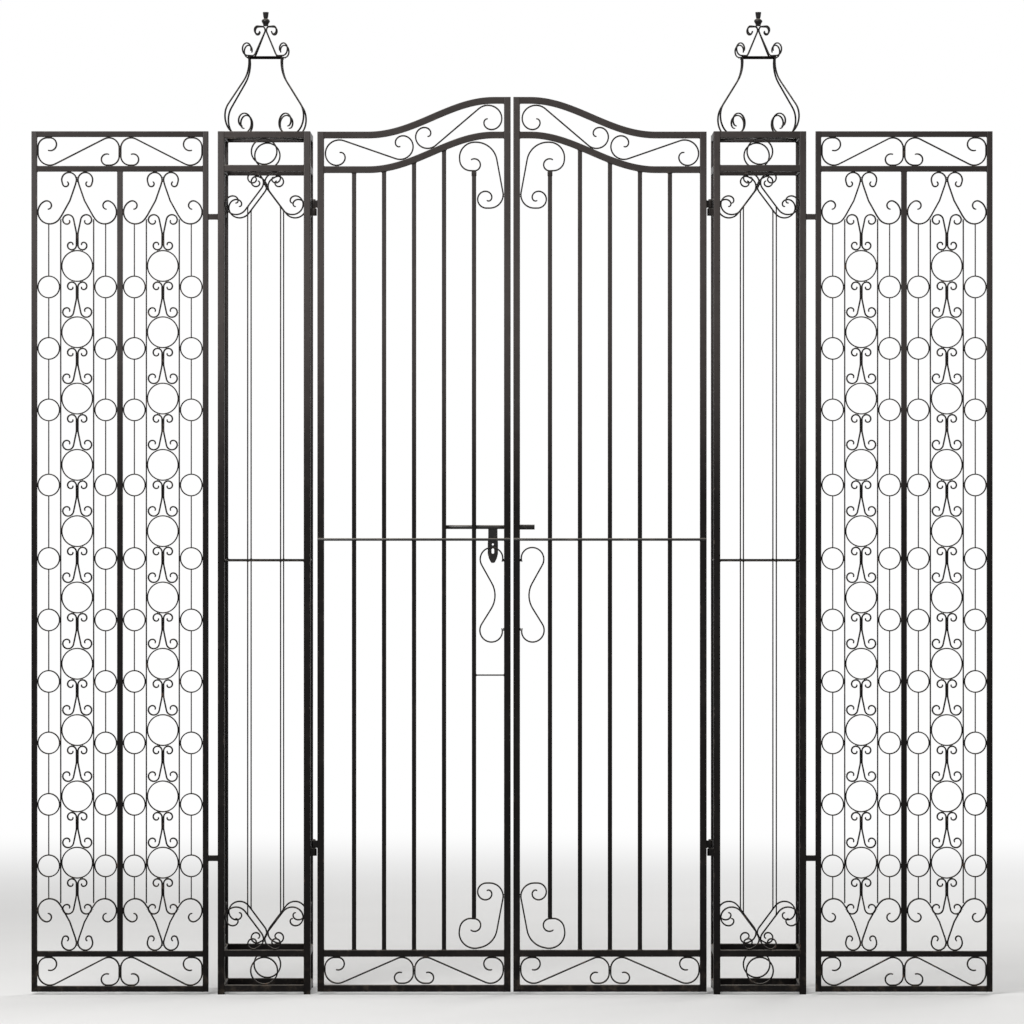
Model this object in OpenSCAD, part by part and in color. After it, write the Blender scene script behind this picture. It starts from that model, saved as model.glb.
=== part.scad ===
// Wrought iron entrance gate: two leaves hung between open box posts, with a fence panel each side.
// Millimetres, +Z up. X runs along the fence, -Y faces the street.
// The origin is under the foot of the left hinge upright, at the middle of the gate's thickness.

/* [Leaves] */
// Width of one leaf over its stiles
leaf_w = 580; // [400:5:900]
// Gap between the two leaves
meeting_gap = 8; // [6:1:20]
// Height of the shoulder of the leaves, next to the posts
shoulder_z = 2589; // [1500:1:2900]
// How much the top rails climb towards the middle
rise = 104; // [20:1:200]
// Where the climb starts, from the hinge edge of the leaf
rise_from = 152; // [60:1:250]
// Where the climb ends, from the hinge edge of the leaf
rise_to = 530; // [300:1:560]
// Height from one top rail to the next
crest_h = 104; // [60:1:160]
// Gap under the leaves
ground_gap = 8; // [5:1:60]
// Height of the panel between the two bottom rails
foot_panel_h = 85; // [50:1:150]
// Side of the square frame tube
tube = 20; // [12:1:40]
// Side of the square bars
bar = 13; // [8:0.5:20]
// Distance from bar to bar
bar_pitch = 90; // [60:1:120]

/* [Scrolls] */
// Thickness of the scroll strip
strip = 4; // [2:0.5:8]
// Width of the scroll strip
strip_w = 12; // [6:1:20]
// Turn of a scroll from one drawn point to the next, in degrees
curl_step = 20; // [8:1:24]
// How late a curl closes in on its centre
closing = 1.4; // [1:0.1:3]

/* [Posts] */
// Width and depth of a box post
post_w = 278; // [180:1:400]
// Height of the top of the box posts
post_h = 2590; // [1500:1:3000]
// Gap between a post and the edge of its leaf
hinge_gap = 21; // [16:1:40]
// Height of the rail that closes the frieze of the posts, at its underside
frieze_z = 2469; // [1400:1:2800]
// Height of the upper foot rail of the posts, at its underside
foot_rail_z = 113; // [60:1:200]

/* [Fence] */
// Whole frieze bays in the fence on each side
fence_bays = 1; // [1:1:3]
// Distance from stile to stile of the fence
light_pitch = 257; // [180:1:320]
// Side of the fence tube
fence_tube = 17; // [12:1:30]
// Gap between the fence and the post
bracket_gap = 28; // [10:1:60]
// Rows of large rings in a light
ring_rows = 10; // [4:1:12]
// Distance from one large ring to the next
ring_pitch = 199; // [150:1:260]
// Height of the centre of the top large ring
ring_top_z = 2186; // [1200:1:2300]
// Width of the thin wires in the fence
wire = 3.6; // [2:0.2:6]

/* [Hinges] */
// Radius of the hinge pins
pin_r = 5; // [3:0.5:8]
// Outer radius of the hinge knuckles
knuckle_r = 8.5; // [6:0.5:12]
// Height of one knuckle
knuckle_h = 22; // [15:1:40]
// Height of the lower hinge
hinge_low_z = 415; // [200:1:900]
// Height of the upper hinge
hinge_high_z = 2337; // [1200:1:2450]

/* [Bolt] */
// Radius of the bolt rod
bolt_r = 6; // [4:0.5:10]
// Height of the bolt rod
bolt_z = 1402; // [900:1:1600]
// Length of the bolt rod
bolt_len = 196; // [120:1:300]

/* [Hidden] */

iron = [0.17, 0.15, 0.15];
frame_front = -tube / 2;

// All drawing is done with x = 0 in the middle of the gateway, left side first.
meet_x = -meeting_gap / 2;
hinge_x = meet_x - leaf_w;
leaf_in = hinge_x + tube;
leaf_out = meet_x - tube;
leaf_mid = (leaf_in + leaf_out) / 2;
post_in = hinge_x - hinge_gap;
post_mid = post_in - post_w / 2;
post_y = frame_front + post_w / 2;
axis_x = hinge_x - hinge_gap / 2;
axis_y = tube / 2;
fence_end = post_in - post_w - bracket_gap;
origin_x = post_in - tube / 2;
foot_rail_top = ground_gap + tube;
bar_foot = foot_rail_top + foot_panel_h + tube;

module placed() {
  translate([-origin_x, 0, 0]) color(iron) children();
}

module both_sides() {
  children();
  mirror([1, 0, 0]) children();
}

// Turns a drawing in x and height into a slab that stands in the gate's plane.
module slab(front, depth) {
  translate([0, front + depth, 0]) rotate([90, 0, 0]) linear_extrude(depth) children();
}

// One closed outline of everything that is drawn in it.
module welded() {
  offset(delta = 0.001) children();
}

module plate_2d(x0, x1, z0, z1) {
  translate([x0, z0]) square([x1 - x0, z1 - z0]);
}

// Scroll strip. A scroll is a list of circles [x, height, radius, way round], way round being
// 1 for anticlockwise and -1 for clockwise. The strip runs as straight tangents from circle to
// circle and closes in on the first and the last one as a curl of [inner radius, degrees, how late].
function unit(a) = [cos(a), sin(a)];
function spot(c) = [c[0], c[1]];
function reversed(v) = [for (i = [len(v) - 1:-1:0]) v[i]];
function heading(a, b) =
  atan2(b[1] - a[1], b[0] - a[0]) + asin((a[2] * a[3] - b[2] * b[3]) / norm(spot(b) - spot(a)));
function turned(h0, h1, way) = let(d = (h1 - h0) % 360) way * ((way * d + 720) % 360);
function step_at(r) = r < 20 ? 1.5 * curl_step : r < 40 ? curl_step : 0.75 * curl_step;
function curl(c, end, a, way) =
  let(n = ceil(end[1] / step_at(c[2])), late = len(end) > 2 ? end[2] : closing)
  [for (i = [0:n]) spot(c) + (c[2] + (end[0] - c[2]) * pow(i / n, late)) * unit(a + way * end[1] * i / n)];
function bend(c, h0, h1) =
  let(sweep = turned(h0, h1, c[3]), n = ceil(abs(sweep) * max(1, c[2] / 60) / curl_step))
  [for (i = [0:n]) spot(c) + c[2] * unit(h0 - 90 * c[3] + sweep * i / n)];
function scroll_line(cs, start, end) =
  let(last = len(cs) - 1, h = [for (i = [0:last - 1]) heading(cs[i], cs[i + 1])])
  concat(
    reversed(curl(cs[0], start, h[0] - 90 * cs[0][3], -cs[0][3])),
    [for (i = [1:1:last - 1]) each bend(cs[i], h[i - 1], h[i])],
    curl(cs[last], end, h[last - 1] - 90 * cs[last][3], cs[last][3])
  );
function beside(line, w) =
  let(last = len(line) - 1)
  [for (i = [0:last])
    let(step = line[min(i + 1, last)] - line[max(i - 1, 0)])
    line[i] + w / 2 * [-step.y, step.x] / norm(step)];

module strip_2d(line, w = strip) {
  polygon(concat(beside(line, w), reversed(beside(line, -w))));
}

module scroll_2d(cs, start, end, w = strip) {
  strip_2d(scroll_line(cs, start, end), w);
}

module ring_2d(x, z, r, w) {
  translate([x, z]) difference() {
    circle(r = r, $fn = 28);
    circle(r = r - w, $fn = 28);
  }
}

// Posts
module post_at() {
  translate([post_mid, post_y, 0]) children();
}

module on_four_sides() {
  for (a = [0:90:270]) rotate([0, 0, a]) children();
}

module post_uprights() {
  post_at() on_four_sides()
    translate([-post_w / 2, -post_w / 2, 0]) cube([tube, tube, post_h]);
}

post_clear = post_w - 2 * tube;
module post_rails() {
  levels = [ground_gap, foot_rail_z, frieze_z, post_h - tube];
  post_at() on_four_sides()
    for (z = levels)
      translate([-post_clear / 2, -post_w / 2, z]) cube([post_clear, tube, tube]);
}

// C-scrolls stand in pairs, back to back. One of them is a list of circles [distance from the
// middle, drop from the edge, radius], which is measured downwards, or upwards when up is -1.
module c_pair_2d(circles, edge_z, up, start, end) {
  for (side = [-1, 1])
    scroll_2d([for (c = circles) [side * c[0], edge_z - up * c[1], c[2], side * up]], start, end);
}
touch = strip / 2 + 0.2;

// The pair that closes a light at its head, or at its foot when it is turned over.
post_pair = [[32.5, 19.3, 17], [30.2, 33, 28], [88, 92.5, 38.5]];
fence_pair = [[34, 36, 9.5], [24.4, 24.4, 22], [286.8, -31, 290], [84, 115, 46]];
module post_pair_2d(edge_z, up) {
  c_pair_2d(post_pair, edge_z, up, [4, 340, 3], [1.5, 365, 1.4]);
}
module fence_pair_2d(edge_z, up) {
  c_pair_2d(fence_pair, edge_z, up, [5, 130, 1.4], [1, 365, 1.2]);
}

// Two wires run from pair to pair and end on the scrolls, this far from the rails.
wire_x = 49.4;
post_wire_drop = 106;
fence_wire_drop = 143.5;
module light_wires_2d(low, high) {
  for (side = [-1, 1])
    plate_2d(side * wire_x - wire / 2, side * wire_x + wire / 2, low, high);
}

module post_panel_2d() {
  welded() {
    post_pair_2d(frieze_z, 1);
    post_pair_2d(foot_rail_z + tube, -1);
    light_wires_2d(foot_rail_z + tube + post_wire_drop, frieze_z - post_wire_drop);
    plate_2d(-post_clear / 2, post_clear / 2, post_strip_z, post_strip_z + strip);
  }
}
post_strip_z = 1299;

module post_scrollwork() {
  post_at() on_four_sides() {
    slab(-post_w / 2 + (tube - strip_w) / 2, strip_w) post_panel_2d();
    slab(-post_w / 2 + (tube - strip_w) / 2, strip_w) {
      ring_2d(0, (foot_rail_top + foot_rail_z) / 2, (foot_rail_z - foot_rail_top) / 2, strip);
      ring_2d(0, (frieze_z + post_h) / 2, (post_h - frieze_z) / 2 - tube, strip);
    }
  }
}

// Finials: four legs and four scrolls in the diagonals of the post. The legs stand on two straps
// that cross between the top rails, and carry a square collar.
finial_h = 228;
collar_z = post_h + finial_h;
collar_half = 52;
collar_h = 3;
collar_top = collar_z + collar_h;
leg_w = 5;
strap_h = 6;
strap_drop = 9;
module in_diagonals() {
  for (a = [45:90:315]) rotate([0, 0, a]) children();
}

module finial_straps() {
  reach = post_clear / 2 * sqrt(2);
  placed() both_sides() translate([post_mid, post_y, post_h - strap_drop - strap_h])
    intersection() {
      translate([-post_clear / 2, -post_clear / 2, 0]) cube([post_clear, post_clear, strap_h]);
      union() {
        for (a = [45, 135]) rotate([0, 0, a])
          translate([-reach, -strip_w / 2, 0]) cube([2 * reach, strip_w, strap_h]);
      }
    }
}

// Each leg curls in at its foot, swells out and then narrows to the collar.
leg = [[89, post_h + 30, 30, 1], [112, post_h + 48, 55, 1], [158.6, post_h + 215, 90, -1]];
module finial_legs() {
  post_at() in_diagonals() slab(-leg_w / 2, leg_w)
    scroll_2d(leg, [12.5, 306, 3.5], [90, 49]);
}

module finial_collar() {
  bore = collar_half - 8;
  post_at() translate([0, 0, collar_z]) difference() {
    translate([-collar_half, -collar_half, 0]) cube([2 * collar_half, 2 * collar_half, collar_h]);
    translate([-bore, -bore, -1]) cube([2 * bore, 2 * bore, collar_h + 2]);
  }
}

// The scrolls over the collar come together under the cap and part again round its foot.
upper_w = 4;
upper_scroll = [
  [76.5, collar_top + 21.6, 19.5, -1],
  [49, collar_top + 24.1, 22, -1],
  [25.1, collar_top + 78.5, 22, -1]
];
module finial_scrolls() {
  post_at() in_diagonals() slab(-upper_w / 2, upper_w)
    scroll_2d(upper_scroll, [15, 290, 2], [5, 350, 1.2]);
}

module finial_cap() {
  post_at() translate([0, 0, collar_top + 81]) rotate_extrude($fn = 48)
    polygon([
      [0, 0], [1.2, 2], [2.6, 6], [4.6, 10], [7, 13.5], [7, 17.5], [9.5, 20.5], [12, 26.5], [10, 31.5],
      [5, 34.5], [5, 36.5], [7.5, 39], [8.3, 45.5], [7.5, 52], [4, 55], [0, 55.5]
    ]);
}

// Fence
fence_depth = fence_tube;
fence_w = fence_bays * 2 * light_pitch;
fence_clear = light_pitch - fence_tube;
function stile_mid(k) = fence_end - fence_tube / 2 - k * light_pitch;
fence_top = post_h;
fence_frieze_top = frieze_z + fence_tube;

module fence_frame_2d() {
  welded() {
    for (k = [0:2 * fence_bays]) {
      between = k % 2 == 1;
      low = between ? foot_rail_z + fence_tube - 1 : ground_gap;
      top = between ? frieze_z + 1 : fence_top;
      plate_2d(stile_mid(k) - fence_tube / 2, stile_mid(k) + fence_tube / 2, low, top);
    }
    for (z = [ground_gap, foot_rail_z, frieze_z, fence_top - fence_tube])
      plate_2d(stile_mid(2 * fence_bays), stile_mid(0), z, z + fence_tube);
  }
}

module fence_frame() {
  slab(frame_front, fence_depth) fence_frame_2d();
}

fence_in = frame_front + (fence_tube - strip_w) / 2;
// A pair of lying S-scrolls, end to end, that fills a low panel w wide and h high.
module lying_pair_2d(w, h) {
  r = h * 0.548;
  out = r * 0.88 + touch;
  for (side = [-1, 1])
    scroll_2d([
      [side * (w / 2 - out), r + h * 0.03 + touch - h / 2, r, -side],
      [side * out, h / 2 - r - touch, r, side]
    ], [r * 0.17, 360], [r * 0.09, 360]);
}

module fence_frieze() {
  bay_clear = 2 * light_pitch - fence_tube;
  for (k = [0:fence_bays - 1]) {
    x = stile_mid(2 * k + 1);
    slab(fence_in, strip_w) {
      translate([x, (fence_frieze_top + fence_top - fence_tube) / 2])
        lying_pair_2d(bay_clear, fence_top - fence_tube - fence_frieze_top);
      translate([x, (ground_gap + fence_tube + foot_rail_z) / 2])
        lying_pair_2d(bay_clear, foot_rail_z - fence_tube - ground_gap);
    }
  }
}

small_ring_r = (fence_clear / 2 - wire_x - wire / 2) / 2;
big_ring_r = wire_x - wire / 2 + 0.3;
function small_ring_z(i) = 2123 - 184.5 * i - (i > 2 ? 41 : 0) - (i > 3 ? 36 : 0);

// The ornament between two large rings: small curls that rest against one ring and wider ones
// towards the next. It hangs under the ring whose centre is at z, or stands over it when up is -1.
small_curl = [17, 14.6];
rest_on_ring = sqrt(pow(big_ring_r + small_curl[1] + touch, 2) - pow(small_curl[0], 2));
ornament = [
  [small_curl[0], rest_on_ring, small_curl[1]],
  [touch + 60, rest_on_ring + 30, 60],
  [28.3, rest_on_ring + 74.2, 17.8]
];
module ornament_2d(z, up) {
  c_pair_2d(ornament, z, up, [3, 360, 2], [4, 360, 2]);
}

small_ring_x = wire_x + wire / 2 + small_ring_r - 0.2;
outer_wire_end = 155;
module light_grille_2d() {
  welded() {
    fence_pair_2d(frieze_z, 1);
    fence_pair_2d(foot_rail_z + fence_tube, -1);
    light_wires_2d(foot_rail_z + fence_tube + fence_wire_drop, frieze_z - fence_wire_drop);
    for (side = [-1, 1], i = [0:ring_rows]) {
      top = i == 0 ? frieze_z - outer_wire_end : small_ring_z(i - 1) - small_ring_r + 1;
      low = i == ring_rows ? foot_rail_z + fence_tube + outer_wire_end : small_ring_z(i) + small_ring_r - 1;
      plate_2d(side * small_ring_x - 1.5, side * small_ring_x + 1.5, low, top);
    }
  }
}

module light_rings_2d() {
  for (i = [0:ring_rows - 1]) {
    ring_2d(0, ring_top_z - i * ring_pitch, big_ring_r, wire);
    for (side = [-1, 1])
      ring_2d(side * small_ring_x, small_ring_z(i), small_ring_r - 0.2, wire);
  }
}

module light_ornaments_2d() {
  ornament_2d(ring_top_z, -1);
  for (i = [0:ring_rows - 1])
    ornament_2d(ring_top_z - i * ring_pitch, 1);
}

module light(k) {
  translate([(stile_mid(k) + stile_mid(k + 1)) / 2, 0, 0]) {
    slab(fence_in, strip_w) light_grille_2d();
    slab(fence_in, strip_w) light_rings_2d();
    slab(fence_in, strip_w) light_ornaments_2d();
  }
}

bracket_z = [400, 2325];
module fence_brackets() {
  placed() both_sides()
    for (z = bracket_z)
      translate([fence_end, frame_front + 2, z]) cube([bracket_gap, fence_tube - 4, 17]);
}

// Hinges: an eye on the leaf turns on a pin that stands in a knuckle on the post.
knuckle_gap = 2;
lug = 3.5;
module hinge_pintles() {
  placed() both_sides()
    for (z = [hinge_low_z, hinge_high_z])
      translate([axis_x, axis_y, z]) union() {
        cylinder(r = knuckle_r, h = knuckle_h, $fn = 64);
        cylinder(r = pin_r, h = 2 * knuckle_h + knuckle_gap + 4, $fn = 64);
        translate([-hinge_gap / 2, -knuckle_r, 0]) cube([hinge_gap / 2 - 2, knuckle_r, knuckle_h]);
      }
}

module hinge_eyes() {
  for (z = [hinge_low_z, hinge_high_z])
    translate([axis_x, axis_y, z + knuckle_h + knuckle_gap]) difference() {
      union() {
        cylinder(r = knuckle_r, h = knuckle_h, $fn = 64);
        translate([0, -knuckle_r, 0]) cube([hinge_gap / 2, knuckle_r, knuckle_h]);
      }
      translate([0, 0, -1]) cylinder(r = pin_r + 0.05, h = knuckle_h + 2, $fn = 64);
    }
}

// Leaves
module hinge_stile() {
  translate([hinge_x, frame_front, ground_gap]) cube([tube, tube, shoulder_z - ground_gap]);
}

module meeting_stile() {
  translate([leaf_out, frame_front, ground_gap]) cube([tube, tube, shoulder_z + rise - ground_gap]);
}

function eased(s) = (1 - cos(180 * min(1, max(0, s)))) / 2;
function crest(x) = shoulder_z + rise * eased((x - hinge_x - rise_from) / (rise_to - rise_from));
function slope(x) = crest(x + 0.5) - crest(x - 0.5);
function under(x) = crest(x) - tube * norm([1, slope(x)]);
function bar_x(k) = leaf_mid + (k - 3) * bar_pitch;

// Places along the top rails: four steps in each gap, so that every bar edge is one of them.
gap_steps = 4;
rail_xs = [for (k = [0:5], j = [0:gap_steps])
  let(
    from = k == 0 ? leaf_in : bar_x(k) + bar / 2,
    to = k == 5 ? leaf_out : bar_x(k + 1) - bar / 2
  )
  from + (to - from) * j / gap_steps];

module crest_rail_2d(drop) {
  polygon(concat(
    [for (x = rail_xs) [x, crest(x) - drop]],
    reversed([for (x = rail_xs) [x, under(x) - drop]])
  ));
}

module leaf_rails() {
  slab(frame_front, tube) {
    crest_rail_2d(0);
    crest_rail_2d(crest_h);
    plate_2d(leaf_in, leaf_out, ground_gap, foot_rail_top);
    plate_2d(leaf_in, leaf_out, bar_foot - tube, bar_foot);
  }
}

// The scrolls that stand between the meeting stile and the short bar next to it.
corner_low = [
  [-113, 207, 19.8, 1], [-124, 194.5, 33, 1], [-111.5, 185, 47, 1], [-108, 202.6, 63.5, 1],
  [-66.7, 293.9, 40, 1], [-76.4, 306.4, 27.5, 1]
];
corner_high = [
  [-113, 2489.8, 18.2, -1], [-124, 2505, 33, -1], [-111.5, 2511.5, 46, -1], [-108, 2494, 63.5, -1],
  [-66.7, 2399.7, 40, -1], [-76.4, 2387.2, 27.5, -1]
];
short_bar_foot = 229.5;
short_bar_head = 2457;
short_bar_cap = 12.5;
module leaf_bars() {
  slab(-bar / 2, bar) {
    for (k = [1:4])
      polygon([
        [bar_x(k) - bar / 2, bar_foot], [bar_x(k) + bar / 2, bar_foot],
        [bar_x(k) + bar / 2, under(bar_x(k) + bar / 2) - crest_h],
        [bar_x(k) - bar / 2, under(bar_x(k) - bar / 2) - crest_h]
      ]);
    plate_2d(bar_x(5) - bar / 2, bar_x(5) + bar / 2, short_bar_foot, short_bar_head);
  }
  translate([bar_x(5) - bar / 2 - 1, -bar / 2 - 1, short_bar_head])
    cube([bar + 2, bar + 2, short_bar_cap]);
}

// A thin strip on the left leaf alone joins the short bar to the meeting stile.
short_strip_z = 956;
module short_strip() {
  slab(-strip_w / 2, strip_w)
    plate_2d(bar_x(5) + bar / 2, leaf_out, short_strip_z, short_strip_z + strip);
}

mid_z = 1361;
module mid_strip() {
  translate([hinge_x, frame_front - strip, mid_z]) cube([leaf_w, strip, 8]);
}

scroll_front = -strip_w / 2;
crest_left = [[-520.5, 2518.3, 46.4, -1], [-333.7, 2549.3, 44, 1]];
crest_right = [[-256.7, 2578.3, 41, 1], [-68.4, 2622.8, 47.2, -1]];
module crest_scrolls() {
  slab(scroll_front, strip_w) {
    scroll_2d(crest_left, [8, 360], [4, 360]);
    scroll_2d(crest_right, [4, 360], [6, 360]);
  }
}

module foot_scrolls() {
  slab(scroll_front, strip_w)
    translate([leaf_mid, foot_rail_top + foot_panel_h / 2]) lying_pair_2d(leaf_out - leaf_in, foot_panel_h);
}

module corner_scrolls() {
  slab(scroll_front, strip_w) {
    scroll_2d(corner_low, [17.8, 217, 1], [3.6, 350, 2.4]);
    scroll_2d(corner_high, [17.8, 217, 1], [3.6, 350, 2.4]);
  }
}

module lock_scroll() {
  slab(scroll_front, strip_w)
    scroll_2d([[-59, 1306, 36.5, 1], [-126, 1197, 75, -1], [-60, 1092, 36.5, 1]], [30, 225, 2.2], [30, 225, 2.2]);
}

// Bolt, behind the leaves
bolt_y = tube / 2 + 12;
keeper_half = 8.5;
keeper_bore = 7;
keeper_deep = 40;
keeper_end = 68;
module along_x(x0, x1, r) {
  translate([x0, bolt_y, bolt_z]) rotate([0, 90, 0]) cylinder(r = r, h = x1 - x0, $fn = 64);
}

module bolt_guides() {
  placed() difference() {
    union() {
      translate([leaf_out, tube / 2, bolt_z - 10]) cube([tube, 22, 20]);
      translate([bar_x(5) - bar / 2, bar / 2, bolt_z - 10]) cube([bar, 22 + (tube - bar) / 2, 20]);
    }
    along_x(-200, 20, bolt_r + 0.05);
  }
}

// A length of square tube behind the right leaf takes the end of the rod.
module bolt_keeper() {
  placed() difference() {
    translate([-meet_x, tube / 2, bolt_z - keeper_half]) cube([keeper_end + meet_x, 2 * (bolt_y - tube / 2), 2 * keeper_half]);
    translate([-meet_x - 1, bolt_y - keeper_bore, bolt_z - keeper_bore])
      cube([keeper_deep + 1, 2 * keeper_bore, 2 * keeper_bore]);
  }
}

module bolt_rod() {
  placed() along_x(meet_x - bolt_len, meet_x, bolt_r);
}

// The handle is a hasp that hangs from the rod, slotted to go over a staple.
handle_x = -60.5;
hasp_w = 26;
hasp_foot = 1294;
module hasp_2d() {
  hasp_slot = [8, 16];
  difference() {
    polygon([
      [-hasp_w / 2 + 1, bolt_z - bolt_r + 1], [-hasp_w / 2 + 1, bolt_z - 30], [-hasp_w / 2, bolt_z - 48],
      [-hasp_w / 2, bolt_z - 80], [-hasp_w / 3, hasp_foot + 6], [-hasp_w / 5, hasp_foot],
      [hasp_w / 5, hasp_foot], [hasp_w / 3, hasp_foot + 6], [hasp_w / 2, bolt_z - 80],
      [hasp_w / 2, bolt_z - 48], [hasp_w / 2 - 1, bolt_z - 30], [hasp_w / 2 - 1, bolt_z - bolt_r + 1]
    ]);
    translate([-hasp_slot[0] / 2, bolt_z - 80]) square(hasp_slot);
    translate([0, bolt_z - 54]) circle(r = 3, $fn = 24);
  }
}

module bolt_handle() {
  placed() difference() {
    translate([handle_x, 0, 0]) slab(bolt_y - 3, 6) hasp_2d();
    along_x(-200, 20, bolt_r);
  }
}

module left_post_uprights() placed() post_uprights();
module left_post_rails() placed() post_rails();
module left_post_scrollwork() placed() post_scrollwork();
module left_finial_legs() placed() finial_legs();
module left_finial_collar() placed() finial_collar();
module left_finial_scrolls() placed() finial_scrolls();
module left_finial_cap() placed() finial_cap();
module left_fence_frame() placed() fence_frame();
module left_fence_frieze() placed() fence_frieze();
module left_fence_outer_light() placed() for (k = [1:2:2 * fence_bays - 1]) light(k);
module left_fence_inner_light() placed() for (k = [0:2:2 * fence_bays - 2]) light(k);
module left_hinge_stile() placed() hinge_stile();
module left_meeting_stile() placed() meeting_stile();
module left_leaf_rails() placed() leaf_rails();
module left_leaf_bars() placed() {
  leaf_bars();
  short_strip();
}
module left_mid_strip() placed() mid_strip();
module left_crest_scrolls() placed() crest_scrolls();
module left_foot_scrolls() placed() foot_scrolls();
module left_corner_scrolls() placed() corner_scrolls();
module left_lock_scroll() placed() lock_scroll();
module left_hinge_eyes() placed() hinge_eyes();

module other_side() {
  placed() mirror([1, 0, 0]) children();
}

module right_post_uprights() other_side() post_uprights();
module right_post_rails() other_side() post_rails();
module right_post_scrollwork() other_side() post_scrollwork();
module right_finial_legs() other_side() finial_legs();
module right_finial_collar() other_side() finial_collar();
module right_finial_scrolls() other_side() finial_scrolls();
module right_finial_cap() other_side() finial_cap();
module right_fence_frame() other_side() fence_frame();
module right_fence_frieze() other_side() fence_frieze();
module right_fence_outer_light() other_side() for (k = [1:2:2 * fence_bays - 1]) light(k);
module right_fence_inner_light() other_side() for (k = [0:2:2 * fence_bays - 2]) light(k);
module right_hinge_stile() other_side() hinge_stile();
module right_meeting_stile() other_side() meeting_stile();
module right_leaf_rails() other_side() leaf_rails();
module right_leaf_bars() other_side() leaf_bars();
module right_mid_strip() other_side() mid_strip();
module right_crest_scrolls() other_side() crest_scrolls();
module right_foot_scrolls() other_side() foot_scrolls();
module right_corner_scrolls() other_side() corner_scrolls();
module right_lock_scroll() other_side() lock_scroll();
module right_hinge_eyes() other_side() hinge_eyes();

left_post_uprights();
left_post_rails();
left_post_scrollwork();
left_finial_legs();
left_finial_collar();
left_finial_scrolls();
left_finial_cap();
right_post_uprights();
right_post_rails();
right_post_scrollwork();
right_finial_legs();
right_finial_collar();
right_finial_scrolls();
right_finial_cap();
finial_straps();
left_fence_frame();
left_fence_frieze();
left_fence_outer_light();
left_fence_inner_light();
right_fence_frame();
right_fence_frieze();
right_fence_outer_light();
right_fence_inner_light();
fence_brackets();
hinge_pintles();
left_hinge_stile();
left_meeting_stile();
left_leaf_rails();
left_leaf_bars();
left_mid_strip();
left_crest_scrolls();
left_foot_scrolls();
left_corner_scrolls();
left_lock_scroll();
left_hinge_eyes();
bolt_guides();
right_hinge_stile();
right_meeting_stile();
right_leaf_rails();
right_leaf_bars();
right_mid_strip();
right_crest_scrolls();
right_foot_scrolls();
right_corner_scrolls();
right_lock_scroll();
right_hinge_eyes();
bolt_keeper();
bolt_rod();
bolt_handle();
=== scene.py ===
from math import cos, pi, radians, sin

import bpy
import numpy as np
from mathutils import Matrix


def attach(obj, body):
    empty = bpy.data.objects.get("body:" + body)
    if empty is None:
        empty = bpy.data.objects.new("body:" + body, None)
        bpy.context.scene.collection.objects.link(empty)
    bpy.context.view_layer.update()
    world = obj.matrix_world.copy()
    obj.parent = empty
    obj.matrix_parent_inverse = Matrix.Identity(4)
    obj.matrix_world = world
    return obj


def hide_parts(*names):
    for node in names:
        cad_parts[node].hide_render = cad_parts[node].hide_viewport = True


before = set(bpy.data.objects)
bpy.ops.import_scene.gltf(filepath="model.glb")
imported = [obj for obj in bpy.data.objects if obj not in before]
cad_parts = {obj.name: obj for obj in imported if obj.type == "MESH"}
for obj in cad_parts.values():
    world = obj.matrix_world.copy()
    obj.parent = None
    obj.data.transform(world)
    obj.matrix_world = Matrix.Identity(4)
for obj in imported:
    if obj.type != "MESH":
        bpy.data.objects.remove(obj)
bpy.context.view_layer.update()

# Box posts. Each stands on four uprights of 20 mm square tube, tied on every side by four rails of
# the same tube. The rail ends are butted against the uprights, welded along their corners and
# dressed flush, and the post is painted when it is whole.
MIDDLE = 615.0
TUBE = 20.0
POST_W, POST_H = 278.0, 2590.0
POST_AT = (-744.0, 129.0, 0.0)
POST_RAILS = (18.0, 123.0, 2479.0, 2580.0)
POST_SIDES = (0, 90, 180, 270)
FIXED = "posts_and_fences"
BLACK = (0.0036, 0.0027, 0.0024)
# The dust colour serves both as dust on upward faces and as a painted highlight on them.
BARE, DUST_AND_HIGHLIGHT, MUD = (0.105, 0.09, 0.078, 1), (0.17, 0.15, 0.125, 1), (0.075, 0.058, 0.042, 1)
RUSTS = (0.05, 0.016, 0.007, 1), (0.19, 0.062, 0.02, 1)
UPWARDS, LEVEL = (1, 1, 0.02), (0.05, 0.05, 1)


def rounded(wide, deep, edge, steps=2, flat=2.0):
    """Outline of a bar, anticlockwise: a quarter circle of radius edge at each corner, and one more point
    flat away from it on each side that has room. The third column is wear, 1 on the edges and 0 between."""
    turn = np.linspace(0, pi / 2, steps + 1)
    arc = np.stack([edge * np.cos(turn), edge * np.sin(turn), np.ones_like(turn)], 1)
    out = []
    for k in range(4):
        c, s = round(cos(k * pi / 2)), round(sin(k * pi / 2))
        w, d = (wide, deep) if k % 2 == 0 else (deep, wide)
        corner = arc
        if d - 2 * edge > 3 * flat:
            corner = np.concatenate([[[edge, -flat, 0]], corner])
        if w - 2 * edge > 3 * flat:
            corner = np.concatenate([corner, [[-flat, edge, 0]]])
        x, y = corner[:, 0] + w / 2 - edge, corner[:, 1] + d / 2 - edge
        out.append(np.stack([c * x - s * y, s * x + c * y, corner[:, 2]], 1))
    return np.concatenate(out)


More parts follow.
